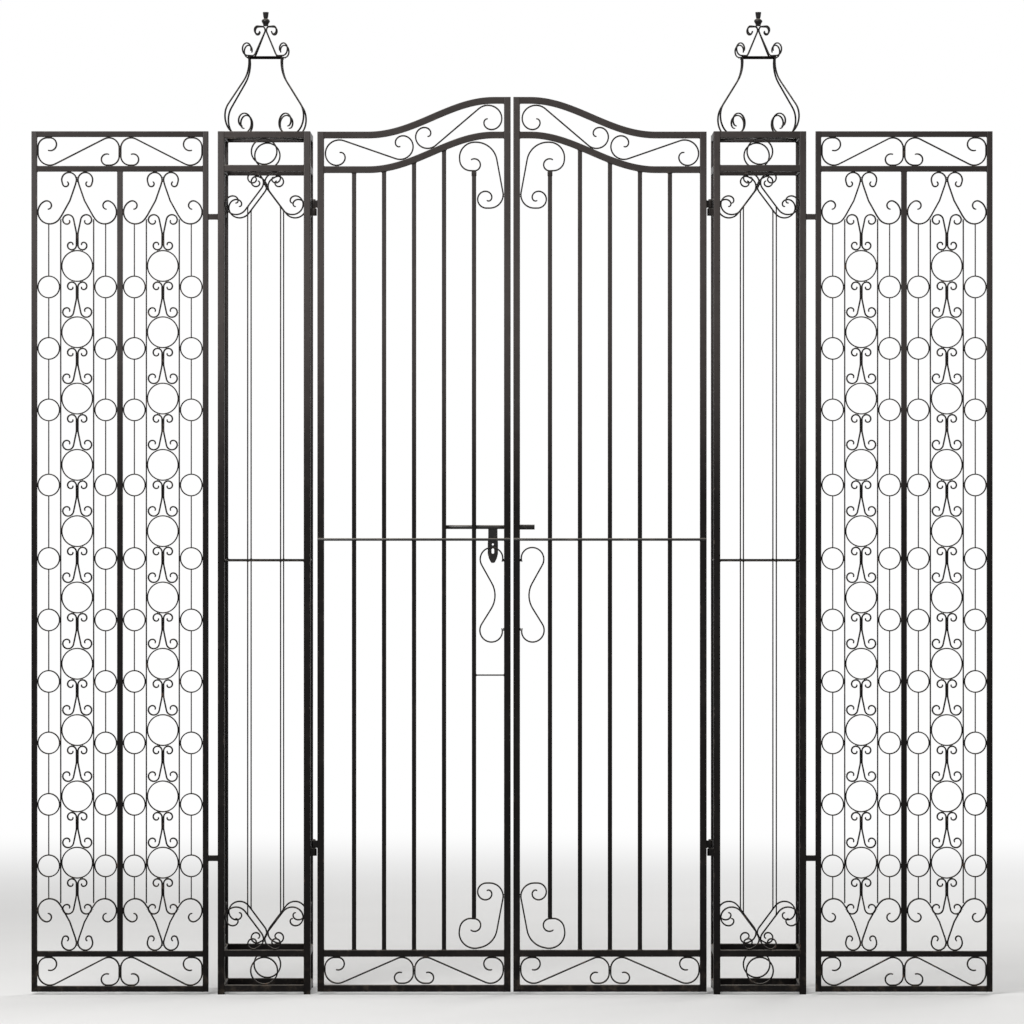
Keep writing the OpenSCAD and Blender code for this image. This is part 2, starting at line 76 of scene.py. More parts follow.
def shell(grid, wear, loop=False):
    """A closed surface from a grid of points, one row for each place on its path and one column for each
    point of its outline. Columns always close. Rows close too on a loop, and otherwise each end gets a flat
    cap. The volume says whether the faces look outwards, and they are turned over if they don't."""
    rows, cols = grid.shape[:2]
    i, j = np.indices((rows if loop else rows - 1, cols))
    over, right = (i + 1) % rows, (j + 1) % cols
    corners = i * cols + j, i * cols + right, over * cols + right, over * cols + j
    quads = np.stack(corners, -1).reshape(-1, 4)
    points = grid.reshape(-1, 3)
    caps = [] if loop else [np.arange(cols)[::-1], np.arange(cols) + (rows - 1) * cols]
    a, b, c, d = (points[quads[:, k]] - points.mean(0) for k in range(4))
    volume = np.sum(a * (np.cross(b, c) + np.cross(c, d)))
    for cap in caps:
        p = points[cap] - points.mean(0)
        volume += np.sum(p[0] * np.cross(p, np.roll(p, -1, 0)))
    if volume < 0:
        quads, caps = quads[:, ::-1], [cap[::-1] for cap in caps]
    return points, np.broadcast_to(wear, (rows, cols)).reshape(-1), quads, caps


def bar(start, end, across, outline, nose=0.7):
    """A straight bar: its outline is carried from start to end, and pulls in along a quarter circle of
    radius nose at both ends, so that no edge is sharp. across is the direction of the outline's width."""
    start, end, across = (np.array(v, float) for v in (start, end, across))
    length = np.linalg.norm(end - start)
    along = (end - start) / length
    turn = np.radians([0, 45, 90])
    step = nose * (1 - np.cos(turn))
    pull = 1 - nose * (1 - np.sin(turn)) / outline[:, :2].max()
    at = np.concatenate([step, length - step[::-1]])[:, None, None]
    size = np.concatenate([pull, pull[::-1]])[:, None, None]
    flat = outline[:, :1] * across + outline[:, 1:2] * np.cross(along, across)
    worn = np.array([0.6, 0.8, 0, 0, 0.8, 0.6])[:, None]
    return shell(start + at * along + size * flat, np.maximum(outline[:, 2], worn))


def bead(line, r, loop=False):
    """A run of weld: a rough cord with six sides, carried along a line. Its radius is r times one plus two
    waves, of 0.13 every 2.8 mm and 0.07 every 3.7 mm, so that it is ridged as the puddles of the weld are."""
    line = np.array(line, float)
    closed = np.concatenate([line, line[:1]]) if loop else line
    s = np.concatenate([[0], np.cumsum(np.linalg.norm(np.diff(closed, axis=0), axis=1))])
    at = np.linspace(0, s[-1], max(4, round(s[-1] / 1.4)) + 1)[: -1 if loop else None]
    path = np.stack([np.interp(at, s, closed[:, k]) for k in range(3)], 1)
    ahead = np.roll(path, -1, 0) - np.roll(path, 1, 0) if loop else np.gradient(path, axis=0)
    ahead /= np.linalg.norm(ahead, axis=1)[:, None]
    side = np.cross(ahead, (0.31, 0.52, 0.79))
    side /= np.linalg.norm(side, axis=1)[:, None]
    face = np.cross(ahead, side)
    size = r * (1 + 0.13 * np.sin(2 * pi * at / 2.8) + 0.07 * np.sin(at * 1.7))
    if not loop:
        size *= np.sqrt(np.clip(1 - np.abs(2 * at / s[-1] - 1) ** 6, 0.12, 1))
    turn = np.arange(6) * pi / 3
    round_ = np.cos(turn)[None, :, None] * side[:, None] + np.sin(turn)[None, :, None] * face[:, None]
    return shell(path[:, None] + size[:, None, None] * round_, 0.45, loop)


def seam(x, y, z, half, r):
    """A weld straight across the gate's plane, half to each side of y."""
    return bead([(x, y - half, z), (x, y + half, z)], r)


def placed(shells, turn=0.0, at=(0, 0, 0), mirror=False):
    """The same surfaces, turned about the vertical, then moved, then mirrored to the other side."""
    c, s = cos(radians(turn)), sin(radians(turn))
    spin = np.array([[c, s, 0], [-s, c, 0], [0, 0, 1]])
    out = [(p @ spin + np.array(at, float), w, quads, caps) for p, w, quads, caps in shells]
    if mirror:
        out = [(p * (-1, 1, 1), w, quads[:, ::-1], [cap[::-1] for cap in caps]) for p, w, quads, caps in out]
    return out


def all_round(shells, turns):
    """A copy of the surfaces at each angle about the vertical."""
    return [copy for turn in turns for copy in placed(shells, turn)]


def both(shells, at=(0, 0, 0)):
    """The surfaces and their mirror image, for a piece that is on both sides of the gateway."""
    return placed(shells, at=at) + placed(shells, at=at, mirror=True)


def added(name, data):
    """A new object of that data, in the scene."""
    made = bpy.data.objects.new(name, data)
    bpy.context.scene.collection.objects.link(made)
    return made


def piece(name, shells, body, finish, node=None):
    """Makes one object of a piece's surfaces, from millimetres about the middle of the gateway."""
    points = np.concatenate([s[0] for s in shells]) + (MIDDLE, 0, 0)
    faces, first = [], 0
    for p, _, quads, caps in shells:
        faces += (quads + first).tolist() + [(cap + first).tolist() for cap in caps]
        first += len(p)
    mesh = bpy.data.meshes.new(name)
    mesh.from_pydata((points / 1000).tolist(), [], faces)
    mesh.polygons.foreach_set("use_smooth", np.ones(len(faces), bool))
    mesh.set_sharp_from_angle(angle=radians(40))
    worn = mesh.attributes.new("wear", "FLOAT", "POINT")
    worn.data.foreach_set("value", np.concatenate([s[1] for s in shells]).astype(np.float32))
    mesh.materials.append(finish)
    made = added(name, mesh)
    if node:
        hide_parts(node)
    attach(made, body)
    return made


def pair(name, shells, body, finish, node=None, at=(0, 0, 0)):
    """A piece on the left of the gateway and its mirror image on the right. The hand goes before its name and
    its node's, and before the body too, where that is a leaf."""
    for hand, mirror in (("left", False), ("right", True)):
        own, replaced = body if body == FIXED else f"{hand}_{body}", node and f"{hand}_{node}"
        piece(f"{hand}_{name}", placed(shells, at=at, mirror=mirror), own, finish, replaced)


class Wire:
    """A socket of a shader. Python's + - * on it add the Math nodes that work the sum out."""

    def __init__(self, coat, socket):
        self.coat, self.socket = coat, socket

    def maths(self, operation, a, b, clamp=False):
        return self.coat.node("Math", {"operation": operation, "use_clamp": clamp}, {0: a, 1: b})

    def __add__(self, other):
        return self.maths("ADD", self, other)

    def __sub__(self, other):
        return self.maths("SUBTRACT", self, other)

    def __rsub__(self, other):
        return self.maths("SUBTRACT", other, self)

    def __mul__(self, other):
        return self.maths("MULTIPLY", self, other)

    __radd__, __rmul__ = __add__, __mul__

    def held(self):
        """The same value, held between 0 and 1."""
        return self.maths("MAXIMUM", self, 0.0, True)

    def past(self, low, high):
        """0 up to low, 1 from high, and a smooth slope between them."""
        return self.coat.node(
            "MapRange", {"interpolation_type": "SMOOTHSTEP"},
            {"Value": self, "From Min": low, "From Max": high, "To Min": 0.0, "To Max": 1.0})

    def part(self, name):
        """Another output of the same node."""
        return Wire(self.coat, self.socket.node.outputs[name])


class Coat:
    """A shader built node by node, for a material or the world."""

    def __init__(self, owner):
        owner.use_nodes = True
        self.tree = owner.node_tree
        self.tree.nodes.clear()

    def node(self, kind, settings={}, sockets={}, out=0):
        """Adds a shader node of a kind, makes its settings, then fills or links its sockets."""
        made = self.tree.nodes.new("ShaderNode" + kind)
        for name, value in settings.items():
            setattr(made, name, value)
        for name, value in sockets.items():
            if isinstance(value, Wire):
                self.tree.links.new(value.socket, made.inputs[name])
            else:
                made.inputs[name].default_value = value
        return Wire(self, made.outputs[out]) if len(made.outputs) else made

    def noise(self, where, scale, detail, rough=0.5):
        sockets = {"Vector": where, "Scale": scale, "Detail": detail, "Roughness": rough}
        return self.node("TexNoise", {}, sockets)

    def colour(self, share, low, high):
        return self.node("Mix", {"data_type": "RGBA"}, {0: share, 6: low, 7: high}, 2)


def painted_iron(name, fresh, chalked_and_lit, run=(1, 1, 1), dents=0.0, rough_to=0.4, rust=0.5, shine=0.12,
                 dust_and_highlight_level=0.5):
    """Satin paint on iron. It chalks in broad patches and is painted lighter with height, a painted light of
    the sky that is held back on undersides and sideways faces as painted shade. It holds dust on what faces
    up, which is also a painted highlight, is rubbed and freckled with rust on edges and welds and near the
    ground, and shows brush marks, long in each direction where run is small. dents is the depth of the
    hammer's marks, and shine the specular level."""
    metal = bpy.data.materials.new(name)
    coat = Coat(metal)
    where = coat.node("TexCoord").part("Object")
    height = coat.node("SeparateXYZ", {}, {0: where}).part("Z")
    facing = coat.node("SeparateXYZ", {}, {0: coat.node("NewGeometry").part("Normal")})
    up, across = facing.part("Z"), facing.part("X")
    wear = coat.node("Attribute", {"attribute_name": "wear"}).part("Fac")
    broad = coat.noise(where, 3.1, 3.0)
    mottle = coat.noise(where, 46.0, 4.0, 0.6)
    grit = coat.noise(where, 310.0, 3.0, 0.65)
    brushed = coat.node("Mapping", {}, {0: where, 3: tuple(420 * k for k in run)})
    strokes = coat.noise(brushed, 1.0, 2.0, 0.7)

    # 1 on faces that look up or forward, less on undersides and on sideways faces: a painted shade that holds
    # the painted light of the chalk back there.
    painted_facing_light = (1 - (0 - up).past(0.2, 0.8)) * (1 - (across * across).past(0.3, 0.9) * 0.65)
    # Lighter with height: a painted light of the bright sky on the upper gate, over broad patches of real
    # chalking, mottle and brush marks.
    chalk_and_light = height.past(1.35, 2.1) * 0.64 - height.past(2.1, 2.6) * 0.12 + (broad - 0.5) * 0.4
    chalk_and_light = (chalk_and_light + (mottle - 0.5) * 0.2 + (strokes - 0.5) * 0.15) * painted_facing_light
    # Dust on faces that look up, which also stands in for a painted highlight of the sky on their tops.
    dust_and_highlight = up.past(0.35, 0.95) * (dust_and_highlight_level + (mottle - 0.4) * 0.9)
    splash = (1 - height.past(0.0, 0.16)) * (mottle * 0.7 + grit * 0.3).past(0.48, 0.66) * 0.4
    rubbed = wear * (mottle * 0.75 + grit * 0.25).past(0.55, 0.64) * 0.5
    freckle = (grit * 0.45 + mottle * 0.55 + wear * 0.07 - height * 0.008).past(0.685 - 0.03 * rust, 0.74)
    rusty = freckle * (0.35 + 0.65 * rust)

    paint = coat.colour(chalk_and_light.held(), (*fresh, 1), (*chalked_and_lit, 1))
    paint = coat.colour(rubbed, paint, BARE)
    paint = coat.colour(dust_and_highlight.held(), paint, DUST_AND_HIGHLIGHT)
    paint = coat.colour(splash, paint, MUD)
    paint = coat.colour(rusty, paint, coat.colour(grit, *RUSTS))
    rough = rough_to + (mottle - 0.5) * 0.22 + (broad - 0.5) * 0.12 + dust_and_highlight * 0.3 + splash * 0.3 + rusty * 0.35
    relief = grit * 0.25 + strokes * 0.5 + mottle * 0.6 - rusty * 0.9
    if dents:
        hollows = {"Vector": where, "Scale": 95.0, "Smoothness": 0.8}
        relief = relief + coat.node("TexVoronoi", {"feature": "SMOOTH_F1"}, hollows) * dents
    bump = coat.node("Bump", {}, {"Strength": 0.55, "Distance": 0.0007, "Height": relief})
    skin = coat.node("BsdfPrincipled", {}, {
        "Base Color": paint, "Roughness": rough, "Specular IOR Level": shine, "Normal": bump})
    coat.node("OutputMaterial", {}, {"Surface": skin})
    return metal


post_upright_paint = painted_iron("post_upright_paint", BLACK, (0.07, 0.06, 0.0565), UPWARDS)
post_rail_paint = painted_iron("post_rail_paint", BLACK, (0.07, 0.06, 0.0565), LEVEL)
tube_outline = rounded(TUBE, TUBE, 1.6)
upright_at, clear = POST_W / 2 - TUBE / 2, POST_W / 2 - TUBE
upright = bar((-upright_at, -upright_at, 0), (-upright_at, -upright_at, POST_H), (1, 0, 0), tube_outline)
side_rails = []
for z in POST_RAILS:
    side_rails.append(bar((-clear, -upright_at, z), (clear, -upright_at, z), (0, 1, 0), tube_outline, 0.05))
    for lip in (z - TUBE / 2, z + TUBE / 2):
        if lip < POST_H:
            side_rails += [seam(end, -upright_at, lip, 8.5, 1.5) for end in (0.4 - clear, clear - 0.4)]
for name, shells, finish, node in (
        ("post_tubes", [upright], post_upright_paint, "post_uprights"),
        ("post_cross_rails", side_rails, post_rail_paint, "post_rails")):
    pair(name, all_round(shells, POST_SIDES), FIXED, finish, node, POST_AT)

# Scrollwork of the posts. Every side has a pair of C-scrolls back to back at its head and another at its
# foot, two wires between them, a strip at mid height, and a ring in each frieze. All of it is flat iron,
# 4.4 mm by 12 mm, bent cold round a jig and tacked where it touches.
STRIP, STRIP_W, WIRE = 4.4, 12.0, 3.6
CLOSING = 1.4
POST_PAIR = [(32.5, 19.3, 17), (30.2, 33, 28), (88, 92.5, 38.5)]
POST_CURLS = (4, 340, 3), (1.5, 365, 1.4)
POST_RINGS = (70.5, 42.5), (2529.5, 40.5)
WIRE_X, WIRE_FOOT, WIRE_HEAD = 49.4, 239, 2363
MID_Z = 1301
SCROLL_BLACK = (0.0034, 0.0026, 0.0023)


def scroll_line(circles, start, end, step=8):
    """The middle line of a scroll, as x and height. It runs along circles [x, height, radius, way round] and
    the straight tangents between them. At both ends it curls in: over an angle a the radius goes from the
    circle's own to an inner one by (share of a) to the power late, for a curl of (inner radius, a, late).
    There is a point every step degrees."""
    def heading(a, b):
        flat = np.arctan2(b[1] - a[1], b[0] - a[0])
        return flat + np.arcsin((a[2] * a[3] - b[2] * b[3]) / np.hypot(b[0] - a[0], b[1] - a[1]))

    def arc(c, radius, angle):
        return np.stack([c[0] + radius * np.cos(angle), c[1] + radius * np.sin(angle)], 1)

    def curl(c, inner, a, way):
        share = np.linspace(0, 1, round(inner[1] / step) + 1)
        late = inner[2] if len(inner) > 2 else CLOSING
        return arc(c, c[2] + (inner[0] - c[2]) * share ** late, a + way * np.radians(inner[1]) * share)

    ways = [heading(a, b) for a, b in zip(circles, circles[1:])]
    first, last = circles[0], circles[-1]
    parts = [curl(first, start, ways[0] - pi / 2 * first[3], -first[3])[::-1]]
    for c, before, after in zip(circles[1:-1], ways, ways[1:]):
        sweep = c[3] * ((c[3] * (after - before)) % (2 * pi))
        share = np.linspace(0, 1, max(3, round(abs(sweep) * 64 / step)))
        parts.append(arc(c, c[2], before - pi / 2 * c[3] + sweep * share))
    parts.append(curl(last, end, ways[-1] - pi / 2 * last[3], last[3]))
    return np.concatenate(parts)


def strip(line, outline=rounded(STRIP_W, STRIP, 0.9, 1, 1.4), y=0.0):
    """Flat iron carried along a line in the gate's plane, with its width across the plane. The line gets a
    point every 14 mm where it is straight. The strip is drawn a little thinner over the last 12 mm of each
    end, whose tip is a quarter circle, and its thickness wavers by a fiftieth, as worked iron does."""
    s = np.concatenate([[0], np.cumsum(np.linalg.norm(np.diff(line, axis=0), axis=1))])
    tips = np.array([0.25, 0.9, 2.0])
    at = np.unique(np.concatenate([s[(s > 2.4) & (s < s[-1] - 2.4)], [0, s[-1]], tips, s[-1] - tips,
                                   np.arange(14, s[-1] - 8, 14)]).round(3))
    at = at[np.concatenate([[True], np.diff(at) > 0.2])]
    path = np.stack([np.interp(at, s, line[:, 0]), np.full(len(at), y), np.interp(at, s, line[:, 1])], 1)
    ahead = np.gradient(path, axis=0)
    ahead /= np.linalg.norm(ahead, axis=1)[:, None]
    normal = np.stack([-ahead[:, 2], 0 * at, ahead[:, 0]], 1)
    left = np.minimum(at, s[-1] - at)
    tip = np.sqrt(1 - (1 - np.clip((left + 0.15) / 2.0, 0, 1)) ** 2)
    waver = 1 + 0.02 * np.sin(at * 0.33) * np.sin(at * 0.081 + 1)
    drawn = tip * (1 - 0.16 * np.exp(-((left / 9) ** 2))) * waver
    grid = (path[:, None] + outline[None, :, :1] * (0.5 + 0.5 * tip)[:, None, None] * (0, 1, 0)
            + outline[None, :, 1:2] * drawn[:, None, None] * normal[:, None])
    return shell(grid, np.maximum(outline[:, 2], (left < 1)[:, None] * 0.7))


def hoop(x, z, r, thick, y=0.0):
    """A ring of flat iron: its outline is carried once round a circle of outer radius r."""
    turn = np.linspace(0, 2 * pi, 49 if r > 25 else 33)[:-1, None, None]
    outline = rounded(STRIP_W, thick, 0.9, 1, 1.4)
    out = r - thick / 2 + outline[None, :, 1:2]
    depth = y + outline[None, :, :1] + 0 * turn
    grid = np.concatenate([x + out * np.cos(turn), depth, z + out * np.sin(turn)], 2)
    return shell(grid, outline[:, 2], True)


def flat_bar(x0, x1, z0, z1, y=0.0):
    """A straight flat bar in the gate's plane, between two corners."""
    x, z, thick = (x0 + x1) / 2, (z0 + z1) / 2, min(x1 - x0, z1 - z0)
    start, end = ((x0, y, z), (x1, y, z)) if x1 - x0 > z1 - z0 else ((x, y, z0), (x, y, z1))
    return bar(start, end, (0, 1, 0), rounded(STRIP_W, thick, 0.7, 1, 1.4), 0.3)


def tack(x, z, dx, dz, y=0.0, r=1.3, half=4.6):
    """Two short welds across the strip, in the wedges on both sides of the point where two irons touch."""
    return [seam(x + k * dx, y, z + k * dz, half, r) for k in (-1, 1)]


def c_pair(circles, edge, way_up, curls, y=0.0, step=8, tacks=True):
    """Two C-scrolls back to back, measured down from an edge, or up from it where way_up is -1. They are
    tacked to the edge at their highest points and to each other where they are nearest."""
    out = []
    for side in (-1, 1):
        own = [(side * x, edge - way_up * down, r, side * way_up) for x, down, r in circles]
        line = scroll_line(own, *curls, step)
        out.append(strip(line, y=y))
        if tacks:
            x, z = line[np.argmax(way_up * line[:, 1])]
            out += tack(x, edge - way_up * 0.9, 4.2, 0, y)
    if tacks:
        near = line[np.argmin(np.abs(line[:, 0]) + 0.001 * way_up * line[:, 1])]
        out += tack(0, near[1], 0, 6.5, y, 1.5)
    return out


post_scroll_paint = painted_iron("post_scroll_paint", SCROLL_BLACK, (0.022, 0.019, 0.018), dents=0.9)
panel = c_pair(POST_PAIR, POST_RAILS[2] - TUBE / 2, 1, POST_CURLS)
panel += c_pair(POST_PAIR, POST_RAILS[1] + TUBE / 2, -1, POST_CURLS)
panel.append(flat_bar(-clear, clear, MID_Z - 2, MID_Z + 2))
for x in (-clear + 0.6, clear - 0.6):
    panel += tack(x, MID_Z, 0, 2.6)
for x in (-WIRE_X, WIRE_X):
    panel.append(flat_bar(x - WIRE / 2, x + WIRE / 2, WIRE_FOOT, WIRE_HEAD))
    panel += tack(x, WIRE_HEAD - 1, 2.2, 0, r=1.1) + tack(x, WIRE_FOOT + 1, 2.2, 0, r=1.1)
    panel += tack(x + 2.2, MID_Z, 0, 2.6, r=1.0) + tack(x - 2.2, MID_Z, 0, 2.6, r=1.0)
for z, r in POST_RINGS:
    panel.append(hoop(0, z, r, STRIP))
    for k in (-1, 1):
        panel += tack(0, z + k * (r - 0.2), 4.6, 0)
scrollwork = all_round(placed(panel, at=(0, -upright_at, 0)), POST_SIDES)
pair("post_scrolls", scrollwork, FIXED, post_scroll_paint, "post_scrollwork", POST_AT)

# Finials. Two flat straps cross in the top of each post, welded into its corners. Four legs of light
# bar stand on them in the diagonals, curled in at the foot and in again at the collar, a thin square
# plate. Four scrolls over it are tacked to its corners and close in under a turned cap.
STRAP_Z, STRAP_END, CROSSING = POST_H - 12, 164, 6.4
COLLAR_Z, COLLAR_TOP, COLLAR_W = POST_H + 228.0, POST_H + 231.0, 104
LEG = [(89, POST_H + 30, 30, 1), (112, POST_H + 48, 55, 1), (158.6, POST_H + 215, 90, -1)]
LEG_CURLS = (12.5, 306, 3.5), (90, 49)
UPPER = [(76.5, COLLAR_TOP + 21.6, 19.5, -1), (57, COLLAR_TOP + 19.1, 17, -1),
         (14.2, COLLAR_TOP + 80.8, 11.4, -1), (34, COLLAR_TOP + 79.6, 13, -1)]
UPPER_CURLS = (15, 290, 2), (8.5, 262, 2)
CAP = [(0.8, 12.8), (4.6, 12.2), (7.2, 12.8), (7.7, 14.5), (7.9, 17), (9, 20), (11.2, 23.4), (12.8, 26.4),
       (12.6, 30), (10.2, 33), (6.2, 35), (5.5, 36.4), (7.2, 38.4), (7.7, 43), (8.3, 48), (9.1, 52.3),
       (8.9, 54.6), (7.6, 55.4), (5.5, 55), (3, 54.4), (0.6, 54.2)]
CAP_Z = COLLAR_TOP + 81
DIAGONALS = (45, 135, 225, 315)


def turned_on_lathe(profile, wear, axis=2, loop=False):
    """A profile of (radius, place along the axis) carried round the axis, which is 0 for x and 2 for z."""
    turn = np.linspace(0, 2 * pi, 41)[None, :-1, None]
    r, along = profile[:, 0, None, None], profile[:, 1, None, None] + 0 * turn
    grid = np.concatenate([r * np.cos(turn), r * np.sin(turn), along], 2)
    if axis == 0:
        grid = grid[:, :, [2, 0, 1]]
    return shell(grid, np.array(wear)[:, None] if np.ndim(wear) else wear, loop)


plate_paint = painted_iron("plate_paint", BLACK, (0.012, 0.0102, 0.0096), rough_to=0.8, shine=0.0)
finial_paint = painted_iron("finial_paint", BLACK, (0.016, 0.0138, 0.013), dents=0.6)
cap_paint = painted_iron("cap_paint", BLACK, (0.013, 0.011, 0.0105), LEVEL, rough_to=0.34, shine=0.2)
strap_outline = rounded(STRIP_W, 6, 1.0, 1, 1.6)
straps = [bar((-STRAP_END, 0, STRAP_Z), (STRAP_END, 0, STRAP_Z), (0, 1, 0), strap_outline)]
for k in (-1, 1):
    straps.append(bar((0, k * CROSSING, STRAP_Z), (0, k * STRAP_END, STRAP_Z), (1, 0, 0), strap_outline))
    straps.append(bead([(-5.4, k * CROSSING, STRAP_Z + 2.6), (5.4, k * CROSSING, STRAP_Z + 2.6)], 1.5))
    for x, y in ((k, 0), (0, k)):
        end, half = np.array([162.5 * x, 162.5 * y, STRAP_Z + 2.2]), np.array([5 * y, 5 * x, 0])
        straps.append(bead([end + half, end - half], 2.0))
leg_line = scroll_line(LEG, *LEG_CURLS)
leg = [strip(leg_line, rounded(5, 4, 1.1, 2, 9))]
leg += tack(leg_line[np.argmin(leg_line[:, 1]), 0], POST_H - 8.6, 4.5, 0, half=2.4)
leg += tack(leg_line[-1, 0] + 1, COLLAR_Z, 2.6, 0, half=2.6)
upper_line = scroll_line(UPPER, *UPPER_CURLS)
upper = [strip(upper_line, rounded(4, 4, 1.0, 2, 9))]
upper += tack(upper_line[np.argmin(upper_line[:, 1]), 0], COLLAR_TOP, 3.4, 0, half=1.8, r=1.1)
collar = [bar((0, 0, COLLAR_Z), (0, 0, COLLAR_TOP), (1, 0, 0), rounded(COLLAR_W, COLLAR_W, 1.6, 2, 6), 0.8)]

# The cap's corners are joined by straight lines of even steps, then each point is averaged with its
# neighbours three times, which rounds them.
steps = np.linspace(0, len(CAP) - 1, 77)
spun = np.stack([np.interp(steps, np.arange(len(CAP)), column) for column in np.transpose(CAP)], 1)
for _ in range(3):
    spun[1:-1] = (spun[:-2] + 2 * spun[1:-1] + spun[2:]) / 4
cap = placed([turned_on_lathe(spun, np.interp(spun[:, 0], (5, 12), (0, 0.8)))], at=(0, 0, CAP_Z))
for name, shells, finish, node in (
        ("finial_leg_scrolls", all_round(leg, DIAGONALS), finial_paint, "finial_legs"),
        ("finial_square", collar, plate_paint, "finial_collar"),
        ("finial_top_scrolls", all_round(upper, DIAGONALS), finial_paint, "finial_scrolls"),
        ("finial_turned_cap", cap, cap_paint, "finial_cap")):
    pair(name, shells, FIXED, finish, node, POST_AT)
piece("crossed_straps", both(placed(straps, 45), POST_AT), FIXED, finial_paint, "finial_straps")

# Fence. Its frame is 17 mm square tube, welded flush like the posts. The end stiles run from the ground
# to the top, and the middle one from the foot rail to the frieze. Two flat lugs hold it off each post.
STILES = (-919.5, -1176.5, -1433.5)
FENCE_TUBE, FENCE_Y = 17.0, -1.5
FENCE_RAILS = (16.5, 121.5, 2477.5, 2581.5)
FENCE_FOOT, FENCE_HEAD = FENCE_RAILS[1] + FENCE_TUBE / 2, FENCE_RAILS[2] - FENCE_TUBE / 2
LUG_Z = (408.5, 2333.5)
SIDEWAYS = (0.02, 1, 1)

fence_upright_paint = painted_iron("fence_upright_paint", BLACK, (0.052, 0.0445, 0.042), UPWARDS)
fence_rail_paint = painted_iron("fence_rail_paint", BLACK, (0.052, 0.0445, 0.042), SIDEWAYS)
fence_outline = rounded(FENCE_TUBE, FENCE_TUBE, 1.5)
stiles = [bar((x, FENCE_Y, low), (x, FENCE_Y, top), (1, 0, 0), fence_outline) for x, low, top in (
    (STILES[0], 8, POST_H), (STILES[1], FENCE_FOOT - 0.4, FENCE_HEAD + 0.4), (STILES[2], 8, POST_H))]
inner, outer = STILES[0] - FENCE_TUBE / 2, STILES[2] + FENCE_TUBE / 2
fence_rails, lugs = [], []
for z in FENCE_RAILS:
    fence_rails.append(bar((outer, FENCE_Y, z), (inner, FENCE_Y, z), (0, 1, 0), fence_outline, 0.05))
    for lip in (z - FENCE_TUBE / 2, z + FENCE_TUBE / 2):
        if lip < POST_H:
            fence_rails += [seam(x, FENCE_Y, lip, 7.4, 1.4) for x in (inner - 0.4, outer + 0.4)]
for z in (FENCE_FOOT, FENCE_HEAD):
    fence_rails += [seam(STILES[1] + k * FENCE_TUBE / 2, FENCE_Y, z, 7.4, 1.4) for k in (-1, 1)]
for z in LUG_Z:
    lugs.append(bar((-911, FENCE_Y, z), (-883, FENCE_Y, z), (0, 1, 0), rounded(13, 17, 1.2), 0.1))
    for x in (-910.8, -883.2):
        corners = [(x, FENCE_Y + dy, z + dz) for dy, dz in ((-5.6, -8), (5.6, -8), (5.6, 8), (-5.6, 8))]
        lugs.append(bead(corners, 1.5, True))
pair("fence_stiles", stiles, FIXED, fence_upright_paint, "fence_frame")
pair("fence_cross_rails", fence_rails, FIXED, fence_rail_paint)
piece("fence_lugs", both(lugs), FIXED, fence_rail_paint, "fence_brackets")

# Friezes of the fence. Over and under the lights lies a pair of S-scrolls, end to end, as long as the
# bay. Each is one length of the strip, curled at both ends on the same jig and tacked between the rails.
FRIEZES = (2529.5, 87), (69, 88)


def lying_pair(x, z, wide, high, y=0.0, lift=0.0):
    """Two S-scrolls that lie end to end in a panel of that width and height about (x, z). They touch the
    upper rail, each other and the walls, and clear the lower rail by lift. A bend is (how far in from the
    wall or the middle, radius, 1 for a top and -1 for a bottom, way round)."""
    half, touch = wide / 2, STRIP / 2 + 0.2
    bends = [(0.145 * half, 0.23 * high, 1, -1), (0.112 * half, 0.112 * half, 1, -1),
             (0.143 * half, 0.143 * half, -1, -1), (0.1245 * half, 0.1245 * half, 1, 1),
             (0.1095 * half, 0.1095 * half, -1, 1), (0.147 * half, 0.2 * high, -1, 1)]
    circles = []
    for into, r, up, way in bends:
        at = half - touch - into if way < 0 else touch + into
        circles.append((at, up * (high / 2 - touch - r) + (lift if up < 0 else 0), r, way))
    parts = []
    for side in (-1, 1):
        line = scroll_line([(side * at, level, r, side * way) for at, level, r, way in circles],
                           (0.21 * high, 200, 1.5), (0.185 * high, 203, 1.5))
        line = line + (x, z)
        parts.append(strip(line, y=y))
        top, bottom = line[np.argmax(line[:, 1])], line[np.argmin(line[:, 1])]
        parts += tack(top[0], z + high / 2, 4.2, 0, y)
        if not lift:
            parts += tack(bottom[0], z - high / 2 + 0.4, 4.6, 0, y)
        wall_spot = line[np.argmax(side * line[:, 0])]
        parts += tack(x + side * wide / 2, wall_spot[1], 0, 4.4, y)
    near = line[np.argmin(np.abs(line[:, 0] - x))]
    return parts + tack(x, near[1], 0, 6.2, y, 1.5)


frieze_paint = painted_iron("frieze_paint", SCROLL_BLACK, (0.022, 0.019, 0.018), dents=0.9)
bay = STILES[0] - STILES[2] - FENCE_TUBE
friezes = []
for z, high in FRIEZES:
    friezes += lying_pair(STILES[1], z, bay, high, FENCE_Y)
pair("frieze_scrolls", friezes, FIXED, frieze_paint, "fence_frieze")

# Lights of the fence. Ten large rings stand between two wires, with a pair of C-scrolls over the first and
# one under each. Small rings joined by thinner wires are on both sides, and a tall pair of C-scrolls closes
# the head and the foot. The rings are bent from strip, with their joint welded, and all of it is tacked.
LIGHT_PAIR = [(34, 36, 9.5), (24.4, 24.4, 22), (286.8, -31, 290), (82.5, 121.4, 35.4), (87, 116.2, 29),
              (90.5, 103.7, 16.5)]
LIGHT_CURLS = (7, 225, 1.2), (9, 200, 1.5)
BIG_RINGS = [2186 - 199 * i for i in range(10)]
SMALL_RINGS = (2123, 1938.5, 1754, 1528.5, 1308, 1123.5, 939, 754.5, 570, 385.5)
BIG_R = WIRE_X - WIRE / 2 + 0.3
LIGHT_HALF = (STILES[0] - STILES[1] - FENCE_TUBE) / 2
SMALL_R = (LIGHT_HALF - WIRE_X - WIRE / 2) / 2
